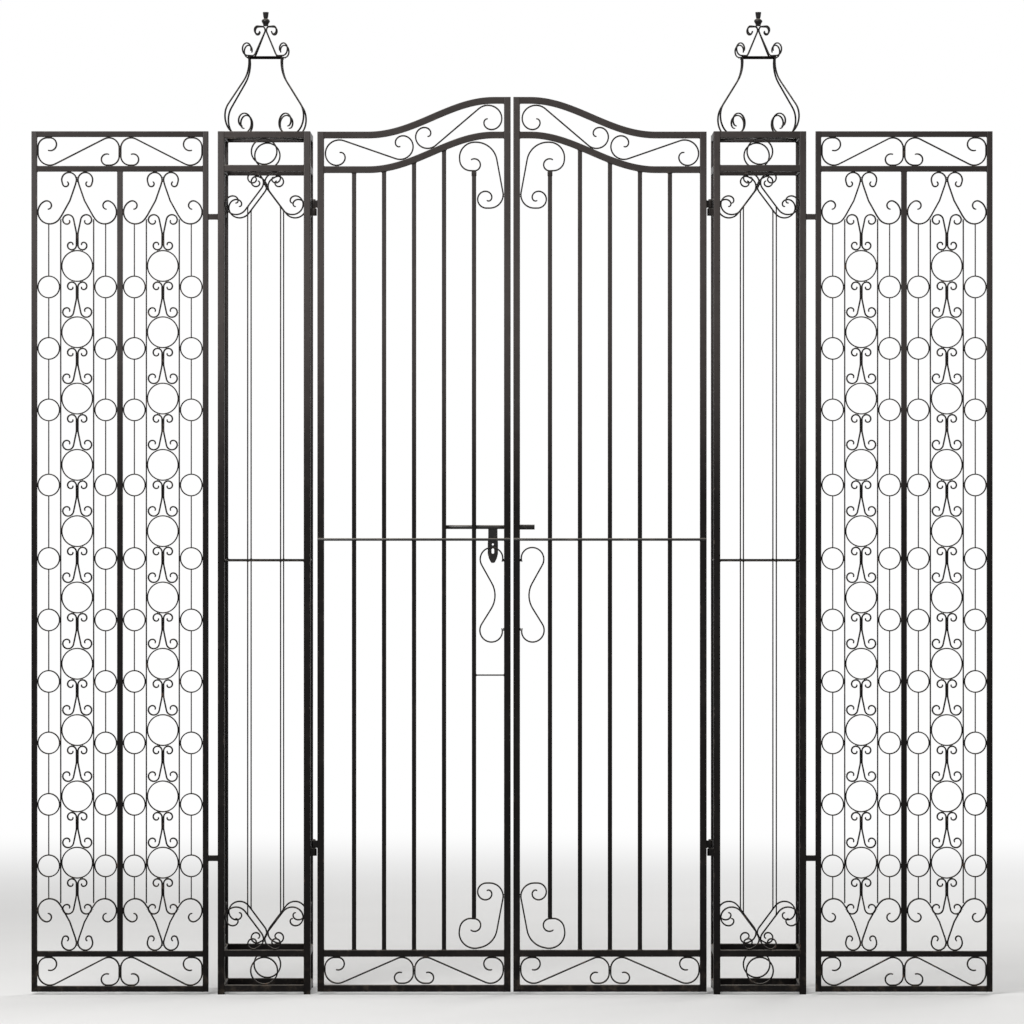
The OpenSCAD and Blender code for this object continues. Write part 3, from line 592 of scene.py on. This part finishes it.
SMALL_X = WIRE_X + WIRE / 2 + SMALL_R - 0.2
CURL_X, CURL_R, WAIST, KNEE = 17, 14.6, 30, 74.2
# REST is how far over a ring's middle the curls of an ornament are when they touch it.
REST = ((BIG_R + CURL_R + STRIP / 2) ** 2 - CURL_X ** 2) ** 0.5
ORNAMENT = [(CURL_X, REST, CURL_R), (62.2, REST + WAIST, 60), (28.3, REST + KNEE, 17.8)]

light_paint = painted_iron("light_paint", SCROLL_BLACK, (0.02, 0.0172, 0.0163), dents=0.7)
lattice = c_pair(LIGHT_PAIR, FENCE_HEAD, 1, LIGHT_CURLS, FENCE_Y, 9)
lattice += c_pair(LIGHT_PAIR, FENCE_FOOT, -1, LIGHT_CURLS, FENCE_Y, 9)
feet = [z + SMALL_R - 1.2 for z in SMALL_RINGS] + [285]
tops = [2314] + [z - SMALL_R + 1.2 for z in SMALL_RINGS]
rings, ornaments = [], []
for side in (-1, 1):
    x = side * WIRE_X
    lattice.append(flat_bar(x - WIRE / 2, x + WIRE / 2, 273.5, 2325.5, FENCE_Y))
    x = side * SMALL_X
    lattice += [flat_bar(x - 1.5, x + 1.5, low, top, FENCE_Y) for low, top in zip(feet, tops)]
    for z in SMALL_RINGS:
        rings.append(hoop(x, z, SMALL_R - 0.2, WIRE, FENCE_Y))
        for touch in (x - SMALL_R + 0.1, x + SMALL_R - 0.1):
            rings += tack(touch, z, 0, 3.8, FENCE_Y, 1.1)
for z in BIG_RINGS:
    rings.append(hoop(0, z, BIG_R, WIRE, FENCE_Y))
    for side in (-1, 1):
        rings += tack(side * (BIG_R - 0.2), z, 0, 4.6, FENCE_Y, 1.1)
for z, way_up in [(BIG_RINGS[0], -1)] + [(z, 1) for z in BIG_RINGS]:
    ornaments += c_pair(ORNAMENT, z, way_up, ((3, 360, 2), (4, 360, 2)), FENCE_Y, 12, False)
    ornaments += tack(0, z - way_up * (REST + WAIST), 0, 6.5, FENCE_Y, 1.4)
    for side in (-1, 1):
        lean = np.array([CURL_X * side, REST * -way_up]) / (BIG_R + CURL_R + STRIP / 2)
        spot = lean * BIG_R + (0, z)
        ornaments += tack(*spot, -3.6 * lean[1], 3.6 * lean[0], FENCE_Y, 1.1)
        ornaments += tack(side * (WIRE_X - WIRE / 2), z - way_up * (REST + KNEE), 0, 3.8, FENCE_Y, 1.1)
for which, k in (("inner", 0), ("outer", 1)):
    at = ((STILES[k] + STILES[k + 1]) / 2, 0, 0)
    for part, shells, node in (("lattice", lattice, f"fence_{which}_light"), ("rings", rings, None),
                               ("ornaments", ornaments, None)):
        pair(f"{which}_light_{part}", shells, FIXED, light_paint, node, at)

# Leaves. Each frame is 20 mm square tube. The stile by the post is lower than the one in the middle,
# and two rails climb from one to the other in a slow S. Bars of 13 mm are welded under the lower of them
# and on the second foot rail. The fifth bar is cut short between two scrolls and has a small square cap.
HINGE_STILE, MEETING_STILE = -574.0, -14.0
LEAF_IN, LEAF_OUT = -564.0, -24.0
FOOT_RAILS = (18, 123)
LOW_TOP, CLIMB, CLIMB_FROM, CLIMB_RUN = 2589.0, 104.0, -432.0, 378.0
CREST_DEEP = 104.0
BAR, BARS, SHORT_BAR = 13.0, (-474, -384, -294, -204), -114
SHORT_STRIP_Z = 958


def crest(x):
    """Height of the top of the upper rail: it climbs by half a cosine over its run."""
    share = np.clip((x - CLIMB_FROM) / CLIMB_RUN, 0, 1)
    return LOW_TOP + CLIMB * (1 - np.cos(pi * share)) / 2


def slope(x):
    """How much the rail climbs at x, over one millimetre."""
    return crest(x + 0.5) - crest(x - 0.5)


def steepness(x):
    """How much longer the rail is than its level run at x: the length of (1, slope)."""
    return np.hypot(1, slope(x))


def climbing_rail(drop):
    """The leaf's tube outline carried along the climb. It stays upright, and is stretched in height by the
    steepness, so that the tube is as thick across its own run everywhere."""
    x = np.linspace(LEAF_IN, LEAF_OUT, 61)
    z = (crest(x) - drop)[:, None] + (tube_outline[None, :, 1] - TUBE / 2) * steepness(x)[:, None]
    return shell(np.stack([x[:, None] + 0 * z, tube_outline[None, :, 0] + 0 * z, z], 2), tube_outline[:, 2])


def bar_weld(x, z, climb=0.0, r=1.6):
    """A weld all the way round a square bar where it meets a rail, which may climb past it."""
    half, rise = BAR / 2, BAR / 2 * climb
    return bead([(x - half, -half, z - rise), (x + half, -half, z + rise), (x + half, half, z + rise),
                 (x - half, half, z - rise)], r, True)


stile_paint = painted_iron("stile_paint", BLACK, (0.066, 0.0565, 0.053), UPWARDS)
leaf_rail_paint = painted_iron("leaf_rail_paint", BLACK, (0.066, 0.0565, 0.053), SIDEWAYS)
bar_paint = painted_iron("bar_paint", BLACK, (0.052, 0.0445, 0.042), UPWARDS, dents=0.4)
bar_outline = rounded(BAR, BAR, 1.0)
for node, x, top in (("hinge_stile", HINGE_STILE, LOW_TOP),
                     ("meeting_stile", MEETING_STILE, LOW_TOP + CLIMB)):
    stile = bar((x, 0, 8), (x, 0, top), (1, 0, 0), tube_outline)
    pair("leaf_" + node, [stile], "leaf", stile_paint, node)
leaf_rails = [climbing_rail(0), climbing_rail(CREST_DEEP)]
for z in FOOT_RAILS:
    leaf_rails.append(bar((LEAF_IN, 0, z), (LEAF_OUT, 0, z), (0, 1, 0), tube_outline, 0.05))
for x, into, top in ((LEAF_IN, 0.4, LOW_TOP), (LEAF_OUT, -0.4, LOW_TOP + CLIMB)):
    lips = [crest(x) - drop - d for drop in (0, CREST_DEEP) for d in (0, TUBE)]
    lips += [z + d for z in FOOT_RAILS for d in (-TUBE / 2, TUBE / 2)]
    leaf_rails += [seam(x + into, 0, z, 8.6, 1.5) for z in lips if z < top]
bars = []
for x in BARS:
    head, climb = crest(x) - CREST_DEEP - TUBE * steepness(x), slope(x)
    bars.append(bar((x, 0, 132.5), (x, 0, head + 5 * climb + 1), (1, 0, 0), bar_outline, 0.05))
    bars += [bar_weld(x, 133.2), bar_weld(x, head - 0.2, climb)]
bars.append(bar((SHORT_BAR, 0, 229.5), (SHORT_BAR, 0, 2457.5), (1, 0, 0), bar_outline))
bars.append(bar((SHORT_BAR, 0, 2457), (SHORT_BAR, 0, 2469.5), (1, 0, 0), rounded(15, 15, 1.2), 1.0))
bars.append(bar_weld(SHORT_BAR, 2457, r=1.2))
short_strip = [flat_bar(SHORT_BAR + BAR / 2, LEAF_OUT, SHORT_STRIP_Z - 2, SHORT_STRIP_Z + 2)]
for x in (SHORT_BAR + BAR / 2 + 0.2, LEAF_OUT - 0.2):
    short_strip += tack(x, SHORT_STRIP_Z, 0, 2.6)
pair("leaf_climbing_rails", leaf_rails, "leaf", leaf_rail_paint, "leaf_rails")
for leaf, shells in (("left_leaf", bars + short_strip), ("right_leaf", placed(bars, mirror=True))):
    piece(leaf + "_square_bars", shells, leaf, bar_paint, leaf + "_bars")

# Scrolls of the leaves, of the same strip as the posts', set on the middle of the frame's depth. Two
# stand in the crest of each leaf between the climbing rails, two lie in the foot, two hold the short bar
# at its ends, and a large C stands across the place of the lock. They are tacked to bars, rails and stiles.
CREST_LEFT = [(-520.5, 2518.3, 46.4, -1), (-333.7, 2549.3, 44, 1)]
CREST_RIGHT = [(-256.7, 2578.3, 41, 1), (-68.4, 2622.8, 47.2, -1)]
CORNER_LOW = [(-113, 207, 19.8, 1), (-124, 194.5, 33, 1), (-111.5, 185, 47, 1),
              (-108, 202.6, 63.5, 1), (-66.7, 293.9, 40, 1), (-76.4, 306.4, 27.5, 1)]
CORNER_HIGH = [(-113, 2489.8, 18.2, -1), (-124, 2505, 33, -1), (-111.5, 2511.5, 46, -1),
               (-108, 2494, 63.5, -1), (-66.7, 2399.7, 40, -1), (-76.4, 2387.2, 27.5, -1)]
CORNER_CURLS = (17.8, 217, 1), (3.6, 350, 2.4)
LOCK = [(-59, 1306, 36.5, 1), (-126, 1197, 75, -1), (-60, 1092, 36.5, 1)]
LOCK_CURLS = (30, 225, 2.2), (30, 225, 2.2)
LOCK_TACKS = (1303, 1095)


def tacked(line, spots):
    """A scroll, and tacks where it touches something: for each (x, z) the nearest point of its line."""
    out = [strip(line)]
    ahead = np.gradient(line, axis=0)
    for x, z in spots:
        k = np.argmin(np.hypot(line[:, 0] - x, line[:, 1] - z))
        run = ahead[k] / np.hypot(*ahead[k])
        out += tack(x, z, 3.6 * run[0], 3.6 * run[1])
    return out


leaf_scroll_paint = painted_iron("leaf_scroll_paint", SCROLL_BLACK, (0.024, 0.0207, 0.0195), dents=0.9)
lock_scroll_paint = painted_iron("lock_scroll_paint", SCROLL_BLACK, (0.022, 0.019, 0.018), dents=0.9,
                                 rust=0.7)
crest_scrolls, corner_scrolls = [], []
for circles, curls in ((CREST_LEFT, ((8, 360), (4, 360))), (CREST_RIGHT, ((4, 360), (6, 360)))):
    line = scroll_line(circles, *curls, 7)
    gap = crest(line[:, 0]) - CREST_DEEP - line[:, 1]
    roof = crest(line[:, 0]) - TUBE * steepness(line[:, 0]) - line[:, 1]
    low, high = np.argmin(np.abs(gap)), np.argmin(np.abs(roof))
    spots = [(line[low, 0], line[low, 1] + gap[low]), (line[high, 0], line[high, 1] + roof[high])]
    crest_scrolls += tacked(line, spots)
foot_scrolls = lying_pair((LEAF_IN + LEAF_OUT) / 2, 70.5, LEAF_OUT - LEAF_IN, 85, lift=2.7)
for circles in (CORNER_LOW, CORNER_HIGH):
    line = scroll_line(circles, *CORNER_CURLS, 7)
    spots = [(LEAF_OUT, line[np.argmax(line[:, 0]), 1])]
    if circles is CORNER_LOW:
        spots.append((line[np.argmin(line[:, 1]), 0], FOOT_RAILS[1] + TUBE / 2))
    corner_scrolls += tacked(line, spots)
lock_scrolls = [strip(scroll_line(LOCK, *LOCK_CURLS, 7))]
for z in LOCK_TACKS:
    x = LEAF_OUT - 1.4
    lock_scrolls += [bead([(x, y, z - 4.5), (x, y, z + 4.5)], 1.7) for y in (-3.6, 0, 3.6)]
for name, shells, finish, node in (
        ("leaf_crest_scrollwork", crest_scrolls, leaf_scroll_paint, "crest_scrolls"),
        ("leaf_foot_scrollwork", foot_scrolls, leaf_scroll_paint, "foot_scrolls"),
        ("leaf_corner_scrollwork", corner_scrolls, leaf_scroll_paint, "corner_scrolls"),
        ("leaf_lock_scrollwork", lock_scrolls, lock_scroll_paint, "lock_scroll")):
    pair(name, shells, "leaf", finish, node)

# Strip across each leaf at mid height. It is half-round iron, 8 mm high and 4 mm deep, laid with its
# flat side on the front of the frame and welded along both edges where it crosses a stile.
CROSS_Z, CROSS_R, CROSS_Y = 1365, 4, -12

# The strip's lighter colours and its heavy dust on top are a painted highlight along its upper edge.
strip_paint_highlit = painted_iron("strip_paint_highlit", (0.006, 0.0052, 0.005), (0.12, 0.105, 0.098), SIDEWAYS,
                           rough_to=0.3, shine=0.4, dust_and_highlight_level=1.1)
bulge = np.linspace(-pi / 2, pi / 2, 11)
half_round = np.stack([2 - CROSS_R * np.cos(bulge), -CROSS_R * np.sin(bulge), np.cos(bulge) ** 6], 1)
cross_strip = [bar((-584, CROSS_Y, CROSS_Z), (-4, CROSS_Y, CROSS_Z), (0, 1, 0), half_round, 0.6)]
for x in (HINGE_STILE, MEETING_STILE):
    for z in (CROSS_Z - CROSS_R - 0.1, CROSS_Z + CROSS_R + 0.1):
        cross_strip.append(bead([(x - 7, CROSS_Y + 1.8, z), (x + 7, CROSS_Y + 1.8, z)], 1.1))
pair("leaf_flat_strip", cross_strip, "leaf", strip_paint_highlit, "mid_strip")

# Hinges. A turned knuckle is welded to the post by its lug, with a pin standing in it. The eye is the
# same turning with a bore, welded to the hinge stile, and hangs on the pin over a bare ring of its rubbing.
AXIS_X, AXIS_Y = -594.5, 10.0
HINGE_Z, KNUCKLE_H, EYE_UP = (415, 2337), 22, 24
KNUCKLE = np.array([(8.5 - k, z) for k, z in (
    (7, 0), (1.2, 0), (0.35, 0.35), (0, 1.2), (0, 20.8), (0.35, 21.65), (1.2, KNUCKLE_H))])
PIN = np.array([(4.95, 21.9), (4.95, 48.4), (4.5, 49.4), (3.2, 50), (0.4, 50)])
RUBBING = [0.3, 0.9, 1, 0.5, 0.5, 1, 0.9]


def welded_lug(x, weld_x, z):
    """The flat lug of a knuckle that stands at z. It is 7 mm long from x, and is welded at weld_x along its
    front edge, its foot and its top."""
    middle, top = z + KNUCKLE_H / 2, z + KNUCKLE_H
    return [bar((x, 5.75, middle), (x + 7, 5.75, middle), (0, 1, 0), rounded(8.5, KNUCKLE_H, 1.0), 0.3),
            bead([(weld_x, 1.4, z), (weld_x, 1.4, top)], 1.5),
            seam(weld_x, 5.8, z, 3.8, 1.3), seam(weld_x, 5.8, top, 3.8, 1.3)]


knuckle_paint = painted_iron("knuckle_paint", (0.0045, 0.0038, 0.0035), (0.03, 0.0255, 0.0235), LEVEL,
                             rust=1.0)
pin_steel = painted_iron("pin_steel", (0.02, 0.0165, 0.014), (0.07, 0.056, 0.046), LEVEL, rough_to=0.32,
                         rust=1.0, shine=0.35)
eye_profile = np.concatenate([[(5.05, 0.5)], KNUCKLE[1:], [(5.05, 21.5)]])
bored = turned_on_lathe(eye_profile, [0.6] + RUBBING[1:] + [0.6], loop=True)
pintles, pins, eyes = [], [], []
for z in HINGE_Z:
    at = (AXIS_X, AXIS_Y, z)
    pintles += placed([turned_on_lathe(KNUCKLE, RUBBING)], at=at) + welded_lug(-605, -604.8, z)
    pins += placed([turned_on_lathe(PIN, 0.6)], at=at)
    eyes += placed([bored], at=(AXIS_X, AXIS_Y, z + EYE_UP)) + welded_lug(-591, -584.2, z + EYE_UP)
piece("hinge_knuckles", both(pintles), FIXED, knuckle_paint, "hinge_pintles")
piece("hinge_pins", both(pins), FIXED, pin_steel)
pair("hinge_turned_eyes", eyes, "leaf", knuckle_paint, "hinge_eyes")

# Bolt. A round rod slides behind the leaves through two bored blocks, one welded to the meeting stile
# and one to the short bar, into a closed tube on the other leaf. A slotted hasp hangs from it.
BOLT_Y, BOLT_Z, BOLT_R = 22.0, 1402.0, 6.0
BLOCK_HALF = 10.0


def bored_block(x0, x1, y0, y1, bevel=0.8):
    """A block along x round the rod's bore. Every ring of its grid is at the same angles about the rod, and
    goes from the bore out to the block's sides, along them with a bevel at both ends, and back in."""
    corner = np.arctan2(np.array([-1, -1, 1, 1]) * BLOCK_HALF, np.array([y0, y1, y1, y0]) - BOLT_Y)
    turn = np.unique(np.round(np.concatenate([np.linspace(-pi, pi, 33)[:-1], corner]), 6))
    c, s = np.cos(turn), np.sin(turn)

    def sides(inset):
        reach = np.minimum((np.where(c > 0, y1 - BOLT_Y, BOLT_Y - y0) - inset) / np.maximum(abs(c), 1e-6),
                           (BLOCK_HALF - inset) / np.maximum(abs(s), 1e-6))
        return np.stack([BOLT_Y + reach * c, BOLT_Z + reach * s], 1)

    bore = np.stack([BOLT_Y + (BOLT_R + 0.1) * c, BOLT_Z + (BOLT_R + 0.1) * s], 1)
    rings = [(x0 + 0.3, bore), (x0, sides(bevel)), (x0 + bevel, sides(0)), (x1 - bevel, sides(0)),
             (x1, sides(bevel)), (x1 - 0.3, bore)]
    grid = np.stack([np.concatenate([np.full((len(turn), 1), x), ring], 1) for x, ring in rings])
    return shell(grid, np.array([0.7, 1, 1, 1, 1, 0.7])[:, None] * 0.8, True)


rod_steel = painted_iron("rod_steel", (0.008, 0.0068, 0.006), (0.05, 0.043, 0.038), SIDEWAYS, rough_to=0.3,
                         rust=0.9, shine=0.4, dust_and_highlight_level=0.9)
bolt_paint = painted_iron("bolt_paint", BLACK, (0.03, 0.0255, 0.024), rough_to=0.34, rust=0.8, shine=0.3)
guides = [bored_block(-24, -4, 10, 32), bored_block(-120.5, -107.5, 6.5, 32)]
for x0, x1, y in ((-23, -5, 10.2), (-119.5, -108.5, 6.7)):
    for z in (BOLT_Z - BLOCK_HALF - 0.2, BOLT_Z + BLOCK_HALF + 0.2):
        guides.append(bead([(x0, y, z), (x1, y, z)], 1.5))
mouth = np.array([(0.4, 44), (6.3, 44), (6.3, 4.4), (6.6, 4), (7.2, 4), (7.6, 4.4), (7.6, 67.2), (7.0, 68),
                  (0.4, 68)])
keeper = placed([turned_on_lathe(mouth, [0, 0, 0.7, 1, 1, 1, 0.5, 0.8, 0.2], axis=0)], at=(0, BOLT_Y, BOLT_Z))
keeper.append(bar((4.6, 13, BOLT_Z), (23.4, 13, BOLT_Z), (0, 1, 0), rounded(6, 13, 0.8, 2, 1.2)))
for z in (BOLT_Z - 6.6, BOLT_Z + 6.6):
    keeper += [bead([(5, y, z), (23, y, z)], 1.3) for y in (10.2, 16.6)]
rod_profile = np.array([(4.9, -200), (5.6, -199.7), (6, -198.9), (6, -5.1), (5.6, -4.3), (4.9, -4)])
rod = placed([turned_on_lathe(rod_profile, [1, 1, 0.8, 0.8, 1, 1], axis=0)], at=(0, BOLT_Y, BOLT_Z))
piece("bolt_bored_guides", guides, "left_leaf", bolt_paint, "bolt_guides")
piece("bolt_tube_keeper", keeper, "right_leaf", bolt_paint, "bolt_keeper")
piece("bolt_round_rod", rod, "bolt", rod_steel, "bolt_rod")


def plate_round_hole(outline, hole, y0, y1, joined, bevel=0.5):
    """A flat plate between two depths, round a hole. Rays from the middle of the hole, at even steps and
    through every corner, cut its outline and the hole's. The grid goes from the hole out over the front,
    over the outer edge with a bevel, and back in, and there is no bevel on a ray that ends at z = joined."""
    middle = hole.mean(0)
    turn = np.unique(np.concatenate([np.linspace(-pi, pi, 37)[:-1]] + [
        np.arctan2(*(corners - middle).T[::-1]) for corners in (outline, hole)]).round(6))
    ray = np.stack([np.cos(turn), np.sin(turn)], 1)[:, None]

    def reach(corners):
        a, b = corners - middle, np.roll(corners, -1, 0) - middle
        side = (b - a)[None]
        cross = ray[..., 0] * side[..., 1] - ray[..., 1] * side[..., 0]
        cross = np.where(abs(cross) < 1e-9, 1e-9, cross)
        far = (a[None, :, 0] * side[..., 1] - a[None, :, 1] * side[..., 0]) / cross
        along = (a[None, :, 0] * ray[..., 1] - a[None, :, 1] * ray[..., 0]) / cross
        return np.where((far > 0) & (along > -1e-4) & (along < 1.0001), far, np.inf).min(1)

    far, near = reach(outline), reach(hole)
    free = abs(middle[1] + far * ray[:, 0, 1] - joined) > 0.3
    rings = [(near, y0 + 0.3), (near + 0.3, y0), (far - bevel * free, y0), (far, y0 + bevel * free),
             (far, y1 - bevel * free), (far - bevel * free, y1), (near + 0.3, y1), (near, y1 - 0.3)]
    grid = np.stack([np.stack([middle[0] + r * ray[:, 0, 0], y + 0 * r, middle[1] + r * ray[:, 0, 1]], 1)
                     for r, y in rings])
    return shell(grid, np.array([0.8, 0.5, 1, 1, 1, 1, 0.5, 0.8])[:, None], True)


# The hasp's corners, as (distance from its middle line, height), go down its left edge and up its right.
# An upper plate round a pin hole and a lower one round a slot meet at its seam.
HASP_X, HASP_FRONT, HASP_BACK, HASP_SEAM = -57.5, 19.4, 24.6, 1343.0
HASP = np.array([(-14, 1397), (-14, 1372), (-15.5, 1354), (-15.5, 1322), (-12, 1308), (-7, 1298),
                 (-4, 1294.4), (4, 1294.4), (7, 1298), (12, 1308), (15.5, 1322), (15.5, 1354), (14, 1372),
                 (14, 1397)])
PIN_HOLE, SLOT = (1350, 3, 0), (1330, 4, 4)
left, right = (-15.5, HASP_SEAM), (15.5, HASP_SEAM)
ring = np.arange(16) * pi / 8
hasp = [bead([(HASP_X - 13, y, 1397), (HASP_X + 13, y, 1397)], 1.6) for y in (18.6, 25.4)]
for corners, (z, r, stretch) in (([*HASP[:3], left, right, *HASP[11:]], PIN_HOLE),
                                 ([left, *HASP[3:11], right], SLOT)):
    level = z + r * np.sin(ring) + np.where(np.sin(ring) > 0, stretch, -stretch)
    hole = np.stack([r * np.cos(ring), level], 1)
    edges = np.array(corners) + (HASP_X, 0), hole + (HASP_X, 0)
    hasp.append(plate_round_hole(*edges, HASP_FRONT, HASP_BACK, HASP_SEAM))
piece("bolt_slotted_hasp", hasp, "bolt", bolt_paint, "bolt_handle")

# Ground, light and camera. The ground is a wide pale disc that takes the gate's shadow. The light is that
# of an even, bright sky: a large soft panel high in front, a weaker one behind, and a low fill.
GROUND_R, GROUND_SIDES = 30, 96
EYE, AIM = (0.615, -19.51, 1.5735), (0.615, 0, 1.9)


def in_view(coat):
    """1 for what the camera sees, straight or by way of metal or glass, and 0 for the light on the object."""
    ray = coat.node("LightPath")
    return (ray.part("Is Camera Ray") + ray.part("Is Glossy Ray") + ray.part("Is Transmission Ray")).held()


edge = np.arange(GROUND_SIDES) * 2 * pi / GROUND_SIDES
rim = GROUND_R * np.stack([np.cos(edge), np.sin(edge), 0 * edge], 1)
ground_mesh = bpy.data.meshes.new("ground")
ground_mesh.from_pydata(rim.tolist(), [], [list(range(GROUND_SIDES))])
pale_ground = bpy.data.materials.new("pale_ground")
coat = Coat(pale_ground)
spot = coat.node("TexCoord").part("Object")
away = coat.node("VectorMath", {"operation": "LENGTH"}, {0: spot}, 1)
cloudy = coat.colour(coat.noise(spot, 1.3, 5.0), (0.70, 0.695, 0.685, 1), (0.76, 0.755, 0.745, 1))
matt = coat.node("BsdfPrincipled", {}, {
    "Base Color": cloudy, "Roughness": 0.9, "Specular IOR Level": 0.2})
white = coat.node("Emission", {}, {"Color": (1, 1, 1, 1), "Strength": 1.0})
fade = away.past(2.5, 9.0) * in_view(coat)
faded = coat.node("MixShader", {}, {0: fade, 1: matt, 2: white})
coat.node("OutputMaterial", {}, {"Surface": faded})
ground_mesh.materials.append(pale_ground)
added("ground", ground_mesh)

sky = bpy.data.worlds.new("even_sky")
bpy.context.scene.world = sky
air = Coat(sky)
strength = in_view(air) * 0.65 + 0.35
glow = air.node("Background", {}, {"Color": (1, 1, 1, 1), "Strength": strength})
air.node("OutputWorld", {}, {"Surface": glow})


def soft_panel(name, at, size, watts):
    """A square area lamp that faces the upper middle of the gate."""
    lamp = bpy.data.lights.new(name, "AREA")
    lamp.shape, lamp.size, lamp.energy = "SQUARE", size, watts
    panel = added(name, lamp)
    gaze = np.array(AIM, float) - at
    panel.location = at
    tilt = np.arccos(-gaze[2] / np.linalg.norm(gaze))
    panel.rotation_euler = (tilt, 0, np.arctan2(gaze[1], gaze[0]) - pi / 2)


soft_panel("front_sky", (-2.2, -4.2, 6.0), 3.5, 470)
soft_panel("back_sky", (3.6, 4.4, 5.2), 3.0, 200)

eye = bpy.data.cameras.new("standing_eye")
eye.lens, eye.shift_y, eye.clip_end = 228.5, -0.041, 200
camera = added("standing_eye", eye)
camera.location, camera.rotation_euler = EYE, (pi / 2, 0, 0)
bpy.context.scene.camera = camera
bpy.context.scene.view_settings.view_transform = "Standard"
